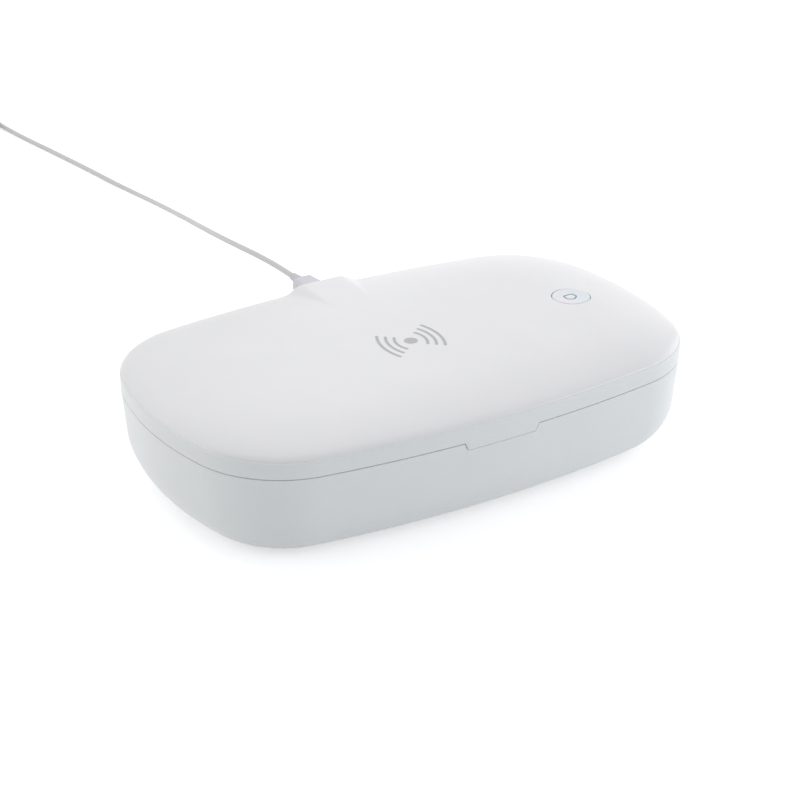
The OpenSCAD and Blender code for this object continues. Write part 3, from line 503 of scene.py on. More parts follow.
def translucent_abs_painted_glow(name, colour, glow, start, end):
    """The button's cap in a lighter, slightly translucent ABS, polished smoother than the lid. A painted
    glow: the pale blue cast of the lamps behind is painted into its colour, growing from its left to its
    right, start to end."""
    grain = noise(0.3)
    material = principled(
        name, {"IOR": 1.5, "Subsurface Weight": 0.25, "Subsurface Scale": 0.003},
        (grain, 0.22, 0.3), (grain, 0.01, 0.04),
    )
    tree = material.node_tree
    # Painted glow: the lamps' blue cast is painted into the base colour, rising along x from start to end.
    place = add_node(tree, "ShaderNodeTexCoord")
    along = add_node(tree, "ShaderNodeSeparateXYZ", None, {"Vector": (place, "Object")})
    span = {"interpolation_type": "SMOOTHSTEP", "From Min": start, "From Max": end}
    share = add_node(tree, "ShaderNodeMapRange", span, {"Value": (along, "X")})
    cast = add_node(tree, "ShaderNodeValToRGB", None, {"Fac": (share, "Result")})
    cast.color_ramp.elements[0].color = colour
    cast.color_ramp.elements[1].color = glow
    tree.links.new(cast.outputs["Color"], tree.nodes["Principled BSDF"].inputs["Base Color"])
    return material


def pad_printed_ink(name, colour):
    """Pad-printed ink: a thin, even film, a little duller than the plastic, with a ragged density."""
    film = noise(0.25, 3.0)
    return principled(name, {"IOR": 1.48}, (film, 0.45, 0.6), (film, 0.004, 0.1), (film, colour, 0.03))


def soft_jacket(name, colour):
    """Soft PVC or TPE, extruded or moulded: smooth, with a faintly oily sheen."""
    fine = noise(1 / 2.6)
    return principled(
        name, {"IOR": 1.52, "Subsurface Weight": 0.05, "Subsurface Scale": 0.001},
        (fine, 0.42, 0.52), (fine, 0.012, 0.06), (noise(9.0), colour, 0.015),
    )


def metallised_plastic(name, colour):
    """Plastic with a vacuum-deposited aluminium film: mirror-bright, softened by the grain of the
    mould under it and by slow waves in the moulding."""
    return principled(
        name, {"Metallic": 1.0, "Base Color": colour}, (noise(0.6), 0.16, 0.26), (noise(14.0), 0.12, 0.25)
    )


def plated_metal(name, value, rough=(0.2, 0.34)):
    """Nickel-plated or plain steel, stamped or turned: bright, with a slight uneven dulling."""
    fine = noise(0.4, 3.0)
    return principled(
        name, {"Metallic": 1.0, "Base Color": linear(value)}, (fine, *rough), (fine, 0.01, 0.1)
    )


def wound_copper(name):
    """Enamelled copper wire wound flat: rings 0.5 mm apart under a thin amber varnish."""
    pitch, wave = 0.5 * MM, {"wave_type": "RINGS", "rings_direction": "Z", "wave_profile": "SIN"}
    rings = pattern("ShaderNodeTexWave", {**wave, "Scale": math.pi / (10 * pitch)}, (0.0, MID_Y * MM, 0.0))
    return principled(
        name, {"Metallic": 1.0, "Coat Weight": 0.6}, (rings, 0.25, 0.4), (rings, 0.1, 0.6),
        (rings, linear("#B8683A"), 0.25),
    )


def solder_resist(name, value):
    """Fibreglass board under solder resist: smooth, with the weave showing faintly, 0.5 mm apart."""
    weave = pattern("ShaderNodeTexBrick", {
        "Scale": 1.0, "Brick Width": 1.0 * MM, "Row Height": 0.5 * MM, "Mortar Size": 0.05 * MM,
        "Color1": (0, 0, 0, 1), "Color2": (0.6, 0.6, 0.6, 1), "Mortar": (1, 1, 1, 1),
    })
    return principled(
        name, {"IOR": 1.5}, (weave, 0.3, 0.4), (weave, 0.01, 0.3), (weave, linear(value), 0.05)
    )


def acrylic(name, value, clear, rough, relief):
    """Acrylic or quartz that passes the clear share of light. Polished, it is nearly invisible, with
    bright edges and faint flow lines; blasted, it is milky and soft-edged."""
    settings = {"Base Color": linear(value), "IOR": 1.49, "Transmission Weight": clear}
    return principled(name, settings, rough, relief)


def plain_resin(name, value, rough=(0.5, 0.65)):
    """Unpolished filled resin, ceramic or moulded rubber: dull, with a fine even grain."""
    fine = noise(0.5, 3.0)
    return principled(name, {"IOR": 1.5}, (fine, *rough), (fine, 0.03, 0.25), (fine, linear(value), 0.03))


def finish_piece(thing, material, slot, body, *nodes):
    """Gives a new piece its finish, its body and the nodes that it stands for; its slot is not used."""
    thing.data.materials.clear()
    thing.data.materials.append(material)
    if body:
        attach(thing, body)
    if nodes:
        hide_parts(*nodes)
    return thing


def finish_node(name, material):
    """Gives a carried-over node its finish."""
    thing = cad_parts[name]
    thing.data.materials.clear()
    thing.data.materials.append(material)


# ---- the lead ----

ROUTE = [  # the free stretch, mm: from the bend relief to the coil
    (0, 85.2, 40.9), (0, 91, 40.8), (0, 101, 40.4), (0, 112, 39.6), (0.2, 124, 38.28),
    (0.86, 137, 36.4), (2.2, 151, 33.97), (4.39, 166, 30.96), (7.41, 182, 27.36),
    (10.9, 198, 23.43), (14.75, 215, 19.2), (18.18, 231, 15.3), (21.19, 247, 11.65),
    (23.5, 263, 8.45), (24.95, 279, 5.75), (25.46, 294, 3.7), (25.17, 309, 2.3),
    (24.16, 324, 1.45), (22.34, 341, 1.22), (20.04, 358, 1.2), (17.5, 375, 1.2), (15.05, 391, 1.2),
    (12.5, 407, 1.2), (10.3, 423, 1.25), (8.8, 435, 1.5), (8.3, 443, 1.8), (8.3, 449, 1.8),
]
TAIL = [  # from the coil to the far plug: x and y in mm, and the share of the drop to the plug
    (0, 0, 0), (-3, 0, 0), (-8, 0, -0.05), (-14, -1, -0.2), (-20, -4, -0.42), (-25, -9, -0.66),
    (-28, -15, -0.86), (-29, -21, -0.97), (-29, -26, -1), (-29, -29, -1),
]
FAR_Z = 3.8  # height of the far plug's middle, mm
FAR_RELIEF_L = 9.0  # length of the bend relief at the far plug, mm


def smooth_line(points, steps):
    """The curve through points, steps to a span: with neighbours a, b, c, d and t from 0 to 1 it is
    (2b + (c-a)t + (2a-5b+4c-d)t^2 + (3b-a-3c+d)t^3) / 2, the end points standing for their
    missing neighbours."""
    p = np.asarray(points, float)
    a, b, c, d = np.concatenate([p[:1], p[:-2]]), p[:-1], p[1:], np.concatenate([p[2:], p[-1:]])
    t = (np.arange(steps) / steps)[None, :, None]
    a, b, c, d = (q[:, None] for q in (a, b, c, d))
    line = 0.5 * (2 * b + (c - a) * t + (2 * a - 5 * b + 4 * c - d) * t**2 + (3 * b - a - 3 * c + d) * t**3)
    return np.concatenate([line.reshape(-1, 3), p[-1:]])


def coil_line(lead):
    """The put-away coil's centreline, mm. Layer k's radius falls by one step a turn where k is
    even and grows where it is odd; the line climbs one step over the half turn round each
    change of layer, as (1 - cos) / 2."""
    step = lead.turn_step / MM
    per_layer = lead.turns / lead.layers
    start_r = lead.turn_r / MM + per_layer * step / 2
    t = np.arange(round(lead.turns * 48) + 1) / 48
    layer = np.minimum(np.floor(t / per_layer), lead.layers - 1)
    along = t - layer * per_layer
    radius = start_r - step * np.where(layer % 2 == 0, along, per_layer - along)
    height = np.full_like(t, ROUTE[-1][2])
    for k in range(1, lead.layers):
        climb = np.clip((t - k * per_layer) / 0.5 + 0.5, 0, 1)
        height += step * (0.5 - 0.5 * np.cos(math.pi * climb))
    x0, y0 = ROUTE[-1][0] - start_r, ROUTE[-1][1] + lead.diameter / MM
    turn = 2 * math.pi * t
    return np.stack([x0 + radius * np.cos(turn), y0 + radius * np.sin(turn), height], 1)


def lead_line(lead):
    """The whole centreline in mm, and the far plug's x and y."""
    coil = coil_line(lead)
    start = coil[-1] - np.array([lead.diameter / MM, 0, 0])
    drop_z = start[2] - FAR_Z
    tail = smooth_line([start + np.array([x, y, z * drop_z]) for x, y, z in TAIL], 8)
    line = np.concatenate([smooth_line(ROUTE, 12)[:-1], coil, tail])
    return line, tail[-1]


def tube(name, line, radius):
    """A round tube along a line: at each point, with w the way along, u = w x z and v = u x w, the
    ring is line + radius * (u cos a + v sin a)."""
    way = np.gradient(line, axis=0)
    way /= np.linalg.norm(way, axis=1)[:, None]
    across = np.cross(way, [0.0, 0.0, 1.0])
    across /= np.linalg.norm(across, axis=1)[:, None]
    up = np.cross(across, way)
    a = np.linspace(0, 2 * math.pi, 14, endpoint=False)[None, :, None]
    rings = line[:, None] + radius * (np.cos(a) * across[:, None] + np.sin(a) * up[:, None])
    return loft(name, rings)


class BOX_OT_lead(bpy.types.Operator):
    """Lead with its plugs, bend reliefs and tie"""

    bl_idname = "sanitizer_box.lead"
    bl_label = "Lead"

    def execute(self, context):
        lead, looks = context.scene.box_lead, context.scene.box_finishes
        jacket = soft_jacket("extruded soft PVC, white", looks.lead)
        line, far = lead_line(lead)
        line = line * MM
        piece = tube("lead", line, lead.diameter / 2)
        finish_piece(piece, jacket, "lead_white", None, "lead_stretch", "lead_coil", "lead_tail")
        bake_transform(piece)

        overmould = soft_jacket("overmoulded TPE, white", looks.plug)
        x, y, z = PORT
        finish_piece(self.grip(lead), overmould, "lead_white", "lid", "plug_grip")
        near = self.relief("bend_relief_near", lead, (x, y + lead.grip_l / MM, z), lead.relief_l / MM)
        finish_piece(near, overmould, "lead_white", "lid", "bend_relief")
        distant = self.relief("bend_relief_far", lead, (far[0], far[1], FAR_Z), -FAR_RELIEF_L)
        finish_piece(distant, overmould, "lead_white", "base", "far_relief")
        body = self.far_grip(far[0], far[1] - FAR_RELIEF_L)
        finish_piece(body, overmould, "lead_white", "base", "far_grip")
        plate = plated_metal("stamped steel, nickel plated", "#C6C9CC")
        for node in ("far_shell", "plug_shell", "port_socket"):
            finish_node(node, plate)
        finish_node("far_tongue", plain_resin("moulded nylon, white", "#E9EAEB", (0.4, 0.5)))
        finish_node("lead_tie", plain_resin("moulded silicone, pale grey", "#D3D5D8", (0.45, 0.6)))
        return {"FINISHED"}

    def grip(self, lead):
        """Charging plug's grip. Its width falls from grip_w + grip_flare to grip_w, and its height
        by 8 per cent, as a smooth step over the whole length, with three shallow finger grooves;
        both ends' edges are rounded by 0.5 mm."""
        long, wide = lead.grip_l / MM, lead.grip_w / MM
        flare, tall = lead.grip_flare / MM, lead.grip_h / MM
        ends = np.linspace(0, 0.04, 7)[:-1]
        s = np.concatenate([ends, np.linspace(0.04, 0.96, 64), 1 - ends[::-1]])
        ease = s**2 * (3 - 2 * s)
        groove = sum(np.exp(-(((s - middle) / 0.028) ** 2)) for middle in (0.34, 0.5, 0.66))
        pull = 2 * rounding(np.minimum(s, 1 - s) * long, 0.5)
        width = wide + flare * (1 - ease) - 0.5 * groove - pull
        height = tall * (1 - 0.08 * ease) - pull
        corner = 2.2 * height / tall
        return carried("plug_grip_near", PORT[1] + s * long, width, height, corner, PORT[::2])

    def relief(self, name, lead, place, length):
        """Bend relief: a sleeve turned about y that tapers as a straight line to 0.4 mm over the
        lead, with five grooves round it, each a shallow cosine. It runs forwards where length is
        negative."""
        thick, thin = 2.4, lead.diameter / MM / 2 + 0.4
        s = np.linspace(0, 1, 80)
        groove = np.clip(np.cos((s * 5.5 - 0.75) * 2 * math.pi), 0, 1) ** 0.6
        radius = thick + (thin - thick) * s - 0.3 * groove * (s > 0.08) * (s < 0.93)
        profile = np.column_stack([radius, s * length]) * MM
        return lathe(name, profile, np.array(place) * MM, "Y", 48)

    def far_grip(self, x, y):
        """Far plug's grip: a plain bar, its edges rounded by 0.6 mm."""
        long, soft = 22.0, 0.6
        ends = np.linspace(0, soft, 7)
        s = np.concatenate([ends, np.linspace(0.8, long - 0.8, 12), long - ends[::-1]])
        pull = 2 * rounding(np.minimum(s, long - s), soft)
        corner = np.full_like(s, 2.0)
        return carried("far_plug_grip", y - s, 15.6 - pull, 7.6 - pull, corner, (x, FAR_Z))


# ---- the shells ----


def bowl_profile(shape, edge, top, low, radius, skin, steps=22):
    """(inset, z) from the wall's edge down to the floor: the wall leans in by draft, then an arc
    of the radius; skin moves both inwards."""
    tilt = math.atan(shape.draft)
    mid_in = edge + shape.draft * (top - low - radius + radius * math.sin(tilt)) + radius * math.cos(tilt)
    arc = tilt + (math.pi / 2 - tilt) * np.linspace(0, 1, steps)
    inset = mid_in - (radius - skin) * np.cos(arc)
    z = low + radius - (radius - skin) * np.sin(arc)
    start = edge + skin / math.cos(tilt)
    wall = [(start + (inset[0] - start) * t, top + (z[0] - top) * t) for t in np.linspace(0, 1, 6)[:-1]]
    return wall + list(zip(inset.tolist(), z.tolist()))


def flat_fill(inset, z, outwards):
    """Rings that fill a flat face, from the middle outwards or back."""
    shares = [0.04, 0.2, 0.4, 0.6, 0.75, 0.87, 0.95]
    rings = [(inset, z, s) for s in shares]
    return rings if outwards else rings[::-1]


TAB_FRONT = -0.05  # the tab is only where y lies before this, metres


def tab_depth(x, half, slant, drop):
    """How far the tab hangs at x: the whole drop within half - slant, then straight up to none."""
    return drop * np.clip((half - np.abs(x)) / slant, 0, 1)


def knuckle(name, left, right, bore, web):
    """One knuckle: a barrel about the hinge line, its edges broken by 0.2 mm, and its web to the
    shell's wall."""
    r, slope = KNUCKLE_R, 0.2
    section = [(bore, left), (r - slope, left), (r, left + slope)]
    section += [(r, right - slope), (r - slope, right), (bore, right)]
    centre = np.array([0.0, *HINGE]) * MM
    barrel = lathe(name + "_barrel", np.array(section) * MM, centre, "X", 64, True)
    return [barrel, prism(name + "_web", np.array(web) * MM, left * MM, right * MM, "X")]


class BOX_OT_base(bpy.types.Operator):
    """Base shell with its notch, hinge knuckles and screw recesses"""

    bl_idname = "sanitizer_box.base"
    bl_label = "Base shell"

    def execute(self, context):
        shape, looks = context.scene.box_shape, context.scene.box_finishes
        points, normals = arc_outline(shape)
        outer = bowl_profile(shape, 0.0, shape.rim, shape.floor, shape.bottom_r, 0.0)
        inner = bowl_profile(shape, 0.0, shape.rim, shape.floor, shape.bottom_r, shape.wall)
        skin = flat_fill(outer[-1][0], outer[-1][1], True) + outer[::-1][:-1]
        skin += [(EDGE * shape.draft, shape.rim - EDGE), (EDGE, shape.rim)]
        skin += [(inner[0][0] - EDGE, shape.rim), (inner[0][0], shape.rim - EDGE)]
        skin += inner[1:] + flat_fill(inner[-1][0], inner[-1][1], False)
        rings = rings_from(points, normals, skin)
        gap, reach = 0.15 * MM, 6 * MM  # round the tab; how far down the notch moves the wall
        notch = tab_depth(rings[..., 0], shape.tab_w / 2 + gap, shape.tab_slant, shape.tab_drop - gap)
        height = np.clip((rings[..., 2] - (shape.rim - reach)) / reach, 0, 1)
        rings[..., 2] -= np.where(rings[..., 1] < TAB_FRONT, notch * height, 0)
        shell = loft("base_bowl", rings)
        screw_hole, foot_hole = [(2.6, -0.2), (2.6, 2.9)], [(6.1, -0.2), (6.1, 1.6)]
        holes = [turned("recess", screw_hole, x, y) for x, y in SCREWS]
        holes += [turned("foot_recess", foot_hole, x, y, sides=64) for x, y in FEET]
        cut(shell, joined("recesses", holes))
        post, seat = box_section(1.5, 4.3, 3.0, 6.0), box_section(1.5, 4.3, 2.9, 3.2)
        extras = [turned("post", ring, x, y, True) for x, y in SCREWS for ring in (post, seat)]
        web = [(61.2, 24.6), (61.2, 36.0), (67.3, 36.0), (67.3, 33.6)]
        wide, bore = 6, 1.01
        for left in (-31, -17, 11, 25):
            extras += knuckle("base_knuckle", left, left + wide, bore, web)
        shell = joined("base_shell_dress", [shell] + extras)
        plastic = moulded_abs("moulded ABS, satin white", looks.shell)
        finish_piece(shell, plastic, "shell_white", "base", "base_shell")
        return {"FINISHED"}


class BOX_OT_band(bpy.types.Operator):
    """Lid's upright band with the opening tab, the port's opening and its hinge knuckles"""

    bl_idname = "sanitizer_box.band"
    bl_label = "Lid band"

    def execute(self, context):
        shape, looks = context.scene.box_shape, context.scene.box_finishes
        points, normals = arc_outline(shape)
        step, low, high, wall = shape.cover_step, shape.seam, shape.ledge, shape.wall
        turn = np.linspace(0, math.pi / 2, 5)
        loop = [(EDGE * (1 - math.sin(a)), low + EDGE * (1 - math.cos(a))) for a in turn]
        loop += [(0.0, low + (high - step - low) * t) for t in (0.3, 0.6, 1.0)]
        turn = np.linspace(0.2, math.pi / 2, 5)
        loop += [(step * (1 - math.cos(a)), high - step + step * math.sin(a)) for a in turn]
        shelf_w, shelf = 5 * MM, 1.2 * MM  # under the cover's foot: how far in, how thick
        loop += [(shelf_w, high), (shelf_w, high - shelf), (wall, high - shelf)]
        loop += [(wall, low + EDGE), (wall - EDGE, low)]
        rings = rings_from(points, normals, loop)
        hang = tab_depth(rings[..., 0], shape.tab_w / 2, shape.tab_slant, shape.tab_drop)
        lower = (rings[..., 1] < TAB_FRONT) & (rings[..., 2] < low + 0.3 * MM)
        rings[..., 2] -= np.where(lower, hang, 0)
        band = loft("lid_band_hoop", rings, True)
        half, r, turn = 2.5, 1.6, np.linspace(-math.pi / 2, math.pi / 2, 16)  # the port's slot, mm
        end = np.column_stack([half + r * np.cos(turn), PORT[2] + r * np.sin(turn)])
        slot = np.concatenate([end, end[::-1] * [-1, 1]])
        cut(band, prism("port_cut", slot * MM, 57 * MM, 66 * MM, "Y"))
        web = [(61.4, 37.1), (67.3, 37.1), (67.3, 39.6), (61.4, 41.3)]
        parts, wide, bore = [band], 7.4, 1.06
        for left in (-24.7, 17.3):
            parts += knuckle("lid_knuckle", left, left + wide, bore, web)
        band = joined("lid_band", parts)
        plastic = moulded_abs("moulded ABS, satin white, lid band", looks.shell)
        finish_piece(band, plastic, "shell_white", "lid", "lid_frame")
        return {"FINISHED"}


class BOX_OT_cover(bpy.types.Operator):
    """Domed cover of the lid, with the housing over the charging port and the button's opening"""

    bl_idname = "sanitizer_box.cover"
    bl_label = "Lid cover"

    def dome(self, shape, inset, skin):
        """Height of the dome: joint + (rise - skin) * sqrt(1 - (1 - s)^2), with s the share of the
        crown's width that the inset has reached, from 0 at the side to 1 at the flat top."""
        s = np.clip((inset - shape.cover_step - skin) / (shape.crown_w - skin), 0, 1)
        rise = shape.top - shape.ledge - skin
        return shape.ledge + rise * np.sqrt(np.clip(1 - (1 - s) ** 2, 0, 1))

    def housing(self, shape, x, skin):
        """Height of the port housing at x: the top within hump_top, falling to the joint at
        hump_root as half a cosine wave."""
        half_top, half_root = shape.hump_top - skin / 2, shape.hump_root - skin
        s = np.clip((np.abs(x) - half_top) / (half_root - half_top), 0, 1)
        return shape.ledge + (shape.top - skin - shape.ledge) * (0.5 + 0.5 * np.cos(math.pi * s))

    def surface(self, shape, points, normals, skin, insets):
        """Rings of the cover's skin. The housing's depth below the top grows over its last
        hump_round towards the rear wall as a quarter circle; the skin's depth is the smaller one of
        the dome's and the housing's, blended as (dome^-4 + housing^-4)^(-1/4), so that they run
        into each other without an edge."""
        depth = np.array(insets)[:, None] - shape.cover_step - skin
        rings = rings_from(points, normals, [(i, 0.0) for i in insets])
        top = shape.top - skin
        dome = self.dome(shape, np.array(insets)[:, None] + 0 * rings[..., 0], skin)
        fall = rounding(depth, shape.hump_round - skin * 0.6)
        hump = np.maximum(self.housing(shape, rings[..., 0], skin) - fall, shape.ledge - 1 * MM)
        near, far = np.clip(top - dome, 1e-6, None) / MM, np.clip(top - hump, 1e-6, None) / MM
        both = (near**-4 + far**-4) ** -0.25 * MM
        rear = rings[..., 1] > 0.018
        rings[..., 2] = np.where(rear, np.maximum(top - both, shape.ledge), dome)
        return rings

    def execute(self, context):
        shape, looks = context.scene.box_shape, context.scene.box_finishes
        button = context.scene.box_button
        points, normals = arc_outline(shape)
        wall, step, crown = shape.wall, shape.cover_step, shape.crown_w
        s = 1 - np.cos(np.linspace(0, math.pi / 2, 44))
        near = np.array([0.1, 0.25, 0.45, 0.7, 1.0, 1.3, 1.7, 2.2, 2.8]) * MM / crown
        s = np.unique(np.concatenate([s, near]))
        outer = self.surface(shape, points, normals, 0.0, (step + s * crown).tolist())
        few = np.unique(np.append(s[::2], s[-1]))
        insets = (step + wall + few * (crown - wall)).tolist()
        inner = self.surface(shape, points, normals, wall, insets)
        foot = rings_from(points, normals, [(step, shape.ledge), (step + wall, shape.ledge)])
        fill_out = rings_from(points, normals, flat_fill(step + crown, shape.top, True))
        fill_in = rings_from(points, normals, flat_fill(step + crown, shape.top - wall, False))
        rings = np.concatenate([fill_out, outer[::-1], foot, inner, fill_in])
        cover = loft("lid_cover_dress", rings, sharp=38.0)
        hole, deep = button.radius + button.gap, 8 * MM
        centre = (button.place_x, button.place_y, shape.top)
        cut(cover, lathe("button_cut", [(hole, -deep), (hole, deep)], centre, "Z", 128), 38.0)
        plastic = moulded_abs("moulded ABS, satin white, cover", looks.cover, 0.3)
        finish_piece(cover, plastic, "cover_white", "lid", "lid_cover")
        return {"FINISHED"}


class BOX_OT_tray(bpy.types.Operator):
    """Reflective phone tray in the base"""

    bl_idname = "sanitizer_box.tray"
    bl_label = "Phone tray"

    def execute(self, context):
        shape, looks = context.scene.box_shape, context.scene.box_finishes
        points, normals = arc_outline(shape)
        top, rim_low, floor, edge = 36.0 * MM, 34.4 * MM, 11.0 * MM, 16 * MM
        outside, round_r, corner, thick = 2.6 * MM, 1.2 * MM, 6 * MM, 1.6 * MM
        inner = bowl_profile(shape, edge, top - 0.5 * MM, floor, corner, 0.0)
        outer = bowl_profile(shape, edge, top - 0.5 * MM, floor, corner, -thick)
        lip = [
            (edge - round_r * (1 - math.sin(a)), top - round_r * (1 - math.cos(a)))
            for a in np.linspace(math.pi / 2, 0, 7)
        ]
        down = [p for p in inner if p[1] < top - 1.3 * MM]
        under = [p for p in outer if p[1] < rim_low - 0.1 * MM]
        profile = flat_fill(inner[-1][0], floor, True) + down[::-1] + lip
        profile += [(outside + 0.3 * MM, top), (outside, top - 0.3 * MM), (outside, rim_low)]
        profile += [(under[0][0], rim_low)] + under + flat_fill(under[-1][0], under[-1][1], False)
        parts = [loft("phone_tray_dress", rings_from(points, normals, profile))]
        post, cup = [(3.2, 6), (3.2, 10)], box_section(3.05, 4.15, 31.4, 34.5)
        parts += [turned("post", post, x, y) for x, y in SCREWS]
        parts += [turned("cup", cup, x, y, True, 64) for x, y in MAGNETS]
        tray = joined("phone_tray_liner", parts)
        film = metallised_plastic("vacuum-metallised ABS", looks.liner)
        finish_piece(tray, film, "liner_silver", "base", "phone_tray")
        finish_node("lid_insert", film)
        return {"FINISHED"}


DISH = 0.15 * MM  # how deep the button's face is dished
SINK, RISE = 0.02 * MM, 0.03 * MM  # how far printed ink goes into its face, and stands out of it


class BOX_OT_button(bpy.types.Operator):
    """Button cap with its mark"""

    bl_idname = "sanitizer_box.button"
    bl_label = "Button"

    def execute(self, context):
        shape, looks = context.scene.box_shape, context.scene.box_finishes
        button = context.scene.box_button
        r, top = button.radius, shape.top + button.stand
        soft, flange = 0.5 * MM, 0.6 * MM  # the edge's rounding; the flange's thickness
        lip, under = shape.top - shape.wall - flange, top - 2.1 * MM
        wide, bore, stem, foot = r + 0.9 * MM, r - 1.2 * MM, 2.2 * MM, 44.3 * MM
        profile = [(r * t, top - DISH * (1 - t**2) ** 2) for t in np.linspace(0.02, 0.93, 24)]
        for a in np.linspace(0.1, math.pi / 2, 8):
            profile.append((r - soft * (1 - math.sin(a)), top - soft * (1 - math.cos(a))))
        profile += [(r, lip), (wide, lip), (wide, lip - flange), (bore, lip - flange)]
        profile += [(bore, under), (stem, under), (stem, foot), (0.2 * MM, foot)]
        x = button.place_x
        cap = lathe("button_cap_dress", profile, (x, button.place_y, 0.0), "Z", 128)
        name = "moulded ABS, translucent white, painted blue glow"
        resin = translucent_abs_painted_glow(name, looks.button, looks.glow, x - 0.5 * r, x + 0.3 * r)
        finish_piece(cap, resin, "button_white", "button", "button_cap")
        ink = pad_printed_ink("pad-printed ink, dark grey", looks.icon_ink)
        finish_piece(self.mark(button, top - DISH), ink, "button_white", "button")
        return {"FINISHED"}

    def mark(self, button, z):
        """Button mark: a plain five-sided outline, a generic sign. Its sides are straight lines
        between the corners, sampled evenly and averaged over a short way to round the corners; the
        line is that outline moved half the line's width to each side."""
        corners = [(-0.95, 0.62), (-1.05, -0.62), (-0.12, -1.05), (0.72, -0.42), (0.62, 0.68)]
        corners = button.icon * np.array(corners)
        t = np.arange(24)[:, None] / 24
        core = np.concatenate([a + (b - a) * t for a, b in zip(corners, np.roll(corners, -1, 0))])
        core = sum(np.roll(core, k, 0) for k in range(-4, 5)) / 9
        way = np.roll(core, -1, 0) - np.roll(core, 1, 0)
        way /= np.linalg.norm(way, axis=1)[:, None]
        out = np.stack([way[:, 1], -way[:, 0]], 1)
        half, low, high = button.icon_line / 2, z - SINK, z + RISE
        centre = np.array([button.place_x, button.place_y])
        rings = np.array([
            np.column_stack([core + out * side + centre, np.full(len(core), level)])
            for side, level in ((half, low), (half, high), (-half, high), (-half, low))
        ])
        share = np.linalg.norm(rings[..., :2] - centre, axis=-1) / button.radius
        rings[..., 2] += DISH * (1 - (1 - share**2) ** 2)
        return loft("button_mark", rings, True, 60.0)


class BOX_OT_mark(bpy.types.Operator):
    """Wireless mark printed on the cover"""

    bl_idname = "sanitizer_box.mark"
    bl_label = "Wireless mark"

    def execute(self, context):
        shape, mark, looks = context.scene.box_shape, context.scene.box_mark, context.scene.box_finishes
        low, high = shape.top - SINK, shape.top + RISE
        centre = (mark.place_x, mark.place_y, 0.0)
        parts = [lathe("dot", [(mark.dot, low), (mark.dot, high)], centre, "Z", 72)]
        for side in (-1, 1):
            for k in range(3):
                parts.append(self.arc(mark, k, side, low, high))
        sign = joined("wireless_mark", parts, 40.0)
        finish_piece(sign, pad_printed_ink("pad-printed ink, grey", looks.ink), "cover_white", "lid")
        return {"FINISHED"}

    def arc(self, mark, k, side, low, high):
        """One flat arc, whose middle lies first + k * step from the dot's centre and whose own
        centre lies its radius back from there: (c + r cos a, r sin a), with r the radius +- half
        the line and a from -arcsin to +arcsin of half the chord over the radius; the ends are
        rounded off with half circles, and lean shifts each point by its height."""
        radius, half = mark.first_r + k * mark.step_r, mark.first_half + k * mark.step_half
        span = math.asin(half / radius)
        a = np.linspace(-span, span, 41)
        ways = np.stack([np.cos(a), np.sin(a)], 1)
        tip = np.linspace(0, math.pi, 9)[1:-1]
        caps = []
        for end, start in ((a[-1], a[-1]), (a[0], a[0] + math.pi)):
            hub = radius * np.array([math.cos(end), math.sin(end)])
            caps.append(hub + mark.line / 2 * np.stack([np.cos(start + tip), np.sin(start + tip)], 1))
        flat = np.concatenate([
            ways * (radius + mark.line / 2), caps[0], ways[::-1] * (radius - mark.line / 2), caps[1],
        ])
        flat[:, 0] += mark.first + k * mark.step - radius
        flat = side * flat
        flat[:, 0] += mark.lean * flat[:, 1]
        return prism("arc", flat + np.array([mark.place_x, mark.place_y]), low, high)


class BOX_OT_inside(bpy.types.Operator):
    """Finishes of the carried-over pieces"""

    bl_idname = "sanitizer_box.inside"
    bl_label = "Inner pieces"

    def execute(self, context):
        steel = plated_metal("turned steel, zinc plated", "#A9ACB0", (0.3, 0.45))
        magnet = plated_metal("sintered magnet, nickel plated", "#C2C4C6", (0.12, 0.22))
        flow, skin = noise(5.0, 1.0), noise(0.4, 3.0)
        clear = acrylic("polished acrylic, clear", "#EAF3F8", 1.0, (flow, 0.03, 0.08), (flow, 0.02, 0.1))
        frosted = acrylic("blasted acrylic, frosted", "#EEF2F5", 0.45, (skin, 0.4, 0.55), (skin, 0.03, 0.2))
        green = solder_resist("FR4 board, green resist", "#1F5B39")
        white = solder_resist("aluminium-core board, white resist", "#ECEBE4")
        black = plain_resin("moulded PBT, black", "#2A2A2C")
        given = {
            "base_screws": steel, "lid_screws": steel, "hinge_pins": steel,
            "base_magnets": magnet, "interlock_magnet": magnet, "lid_magnets": magnet,
            "phone_rest": frosted, "lamp_windows": clear, "status_lights": clear,
            "control_board": green, "button_board": green, "lamp_boards": white,
            "uv_lamps": plain_resin("pressed alumina ceramic", "#E6DEC2"),
            "charging_coil": wound_copper("enamelled copper wire"),
            "ferrite_disc": plain_resin("pressed ferrite", "#35363A"),
            "switch_body": black,
            "switch_plunger": plain_resin("moulded nylon, natural", "#E4E2DA", (0.4, 0.5)),
            "feet": plain_resin("moulded silicone, light grey", "#CFD1D3", (0.6, 0.75)),
        }
        for node, material in given.items():
            finish_node(node, material)
        return {"FINISHED"}


# ---- camera, light and floor ----


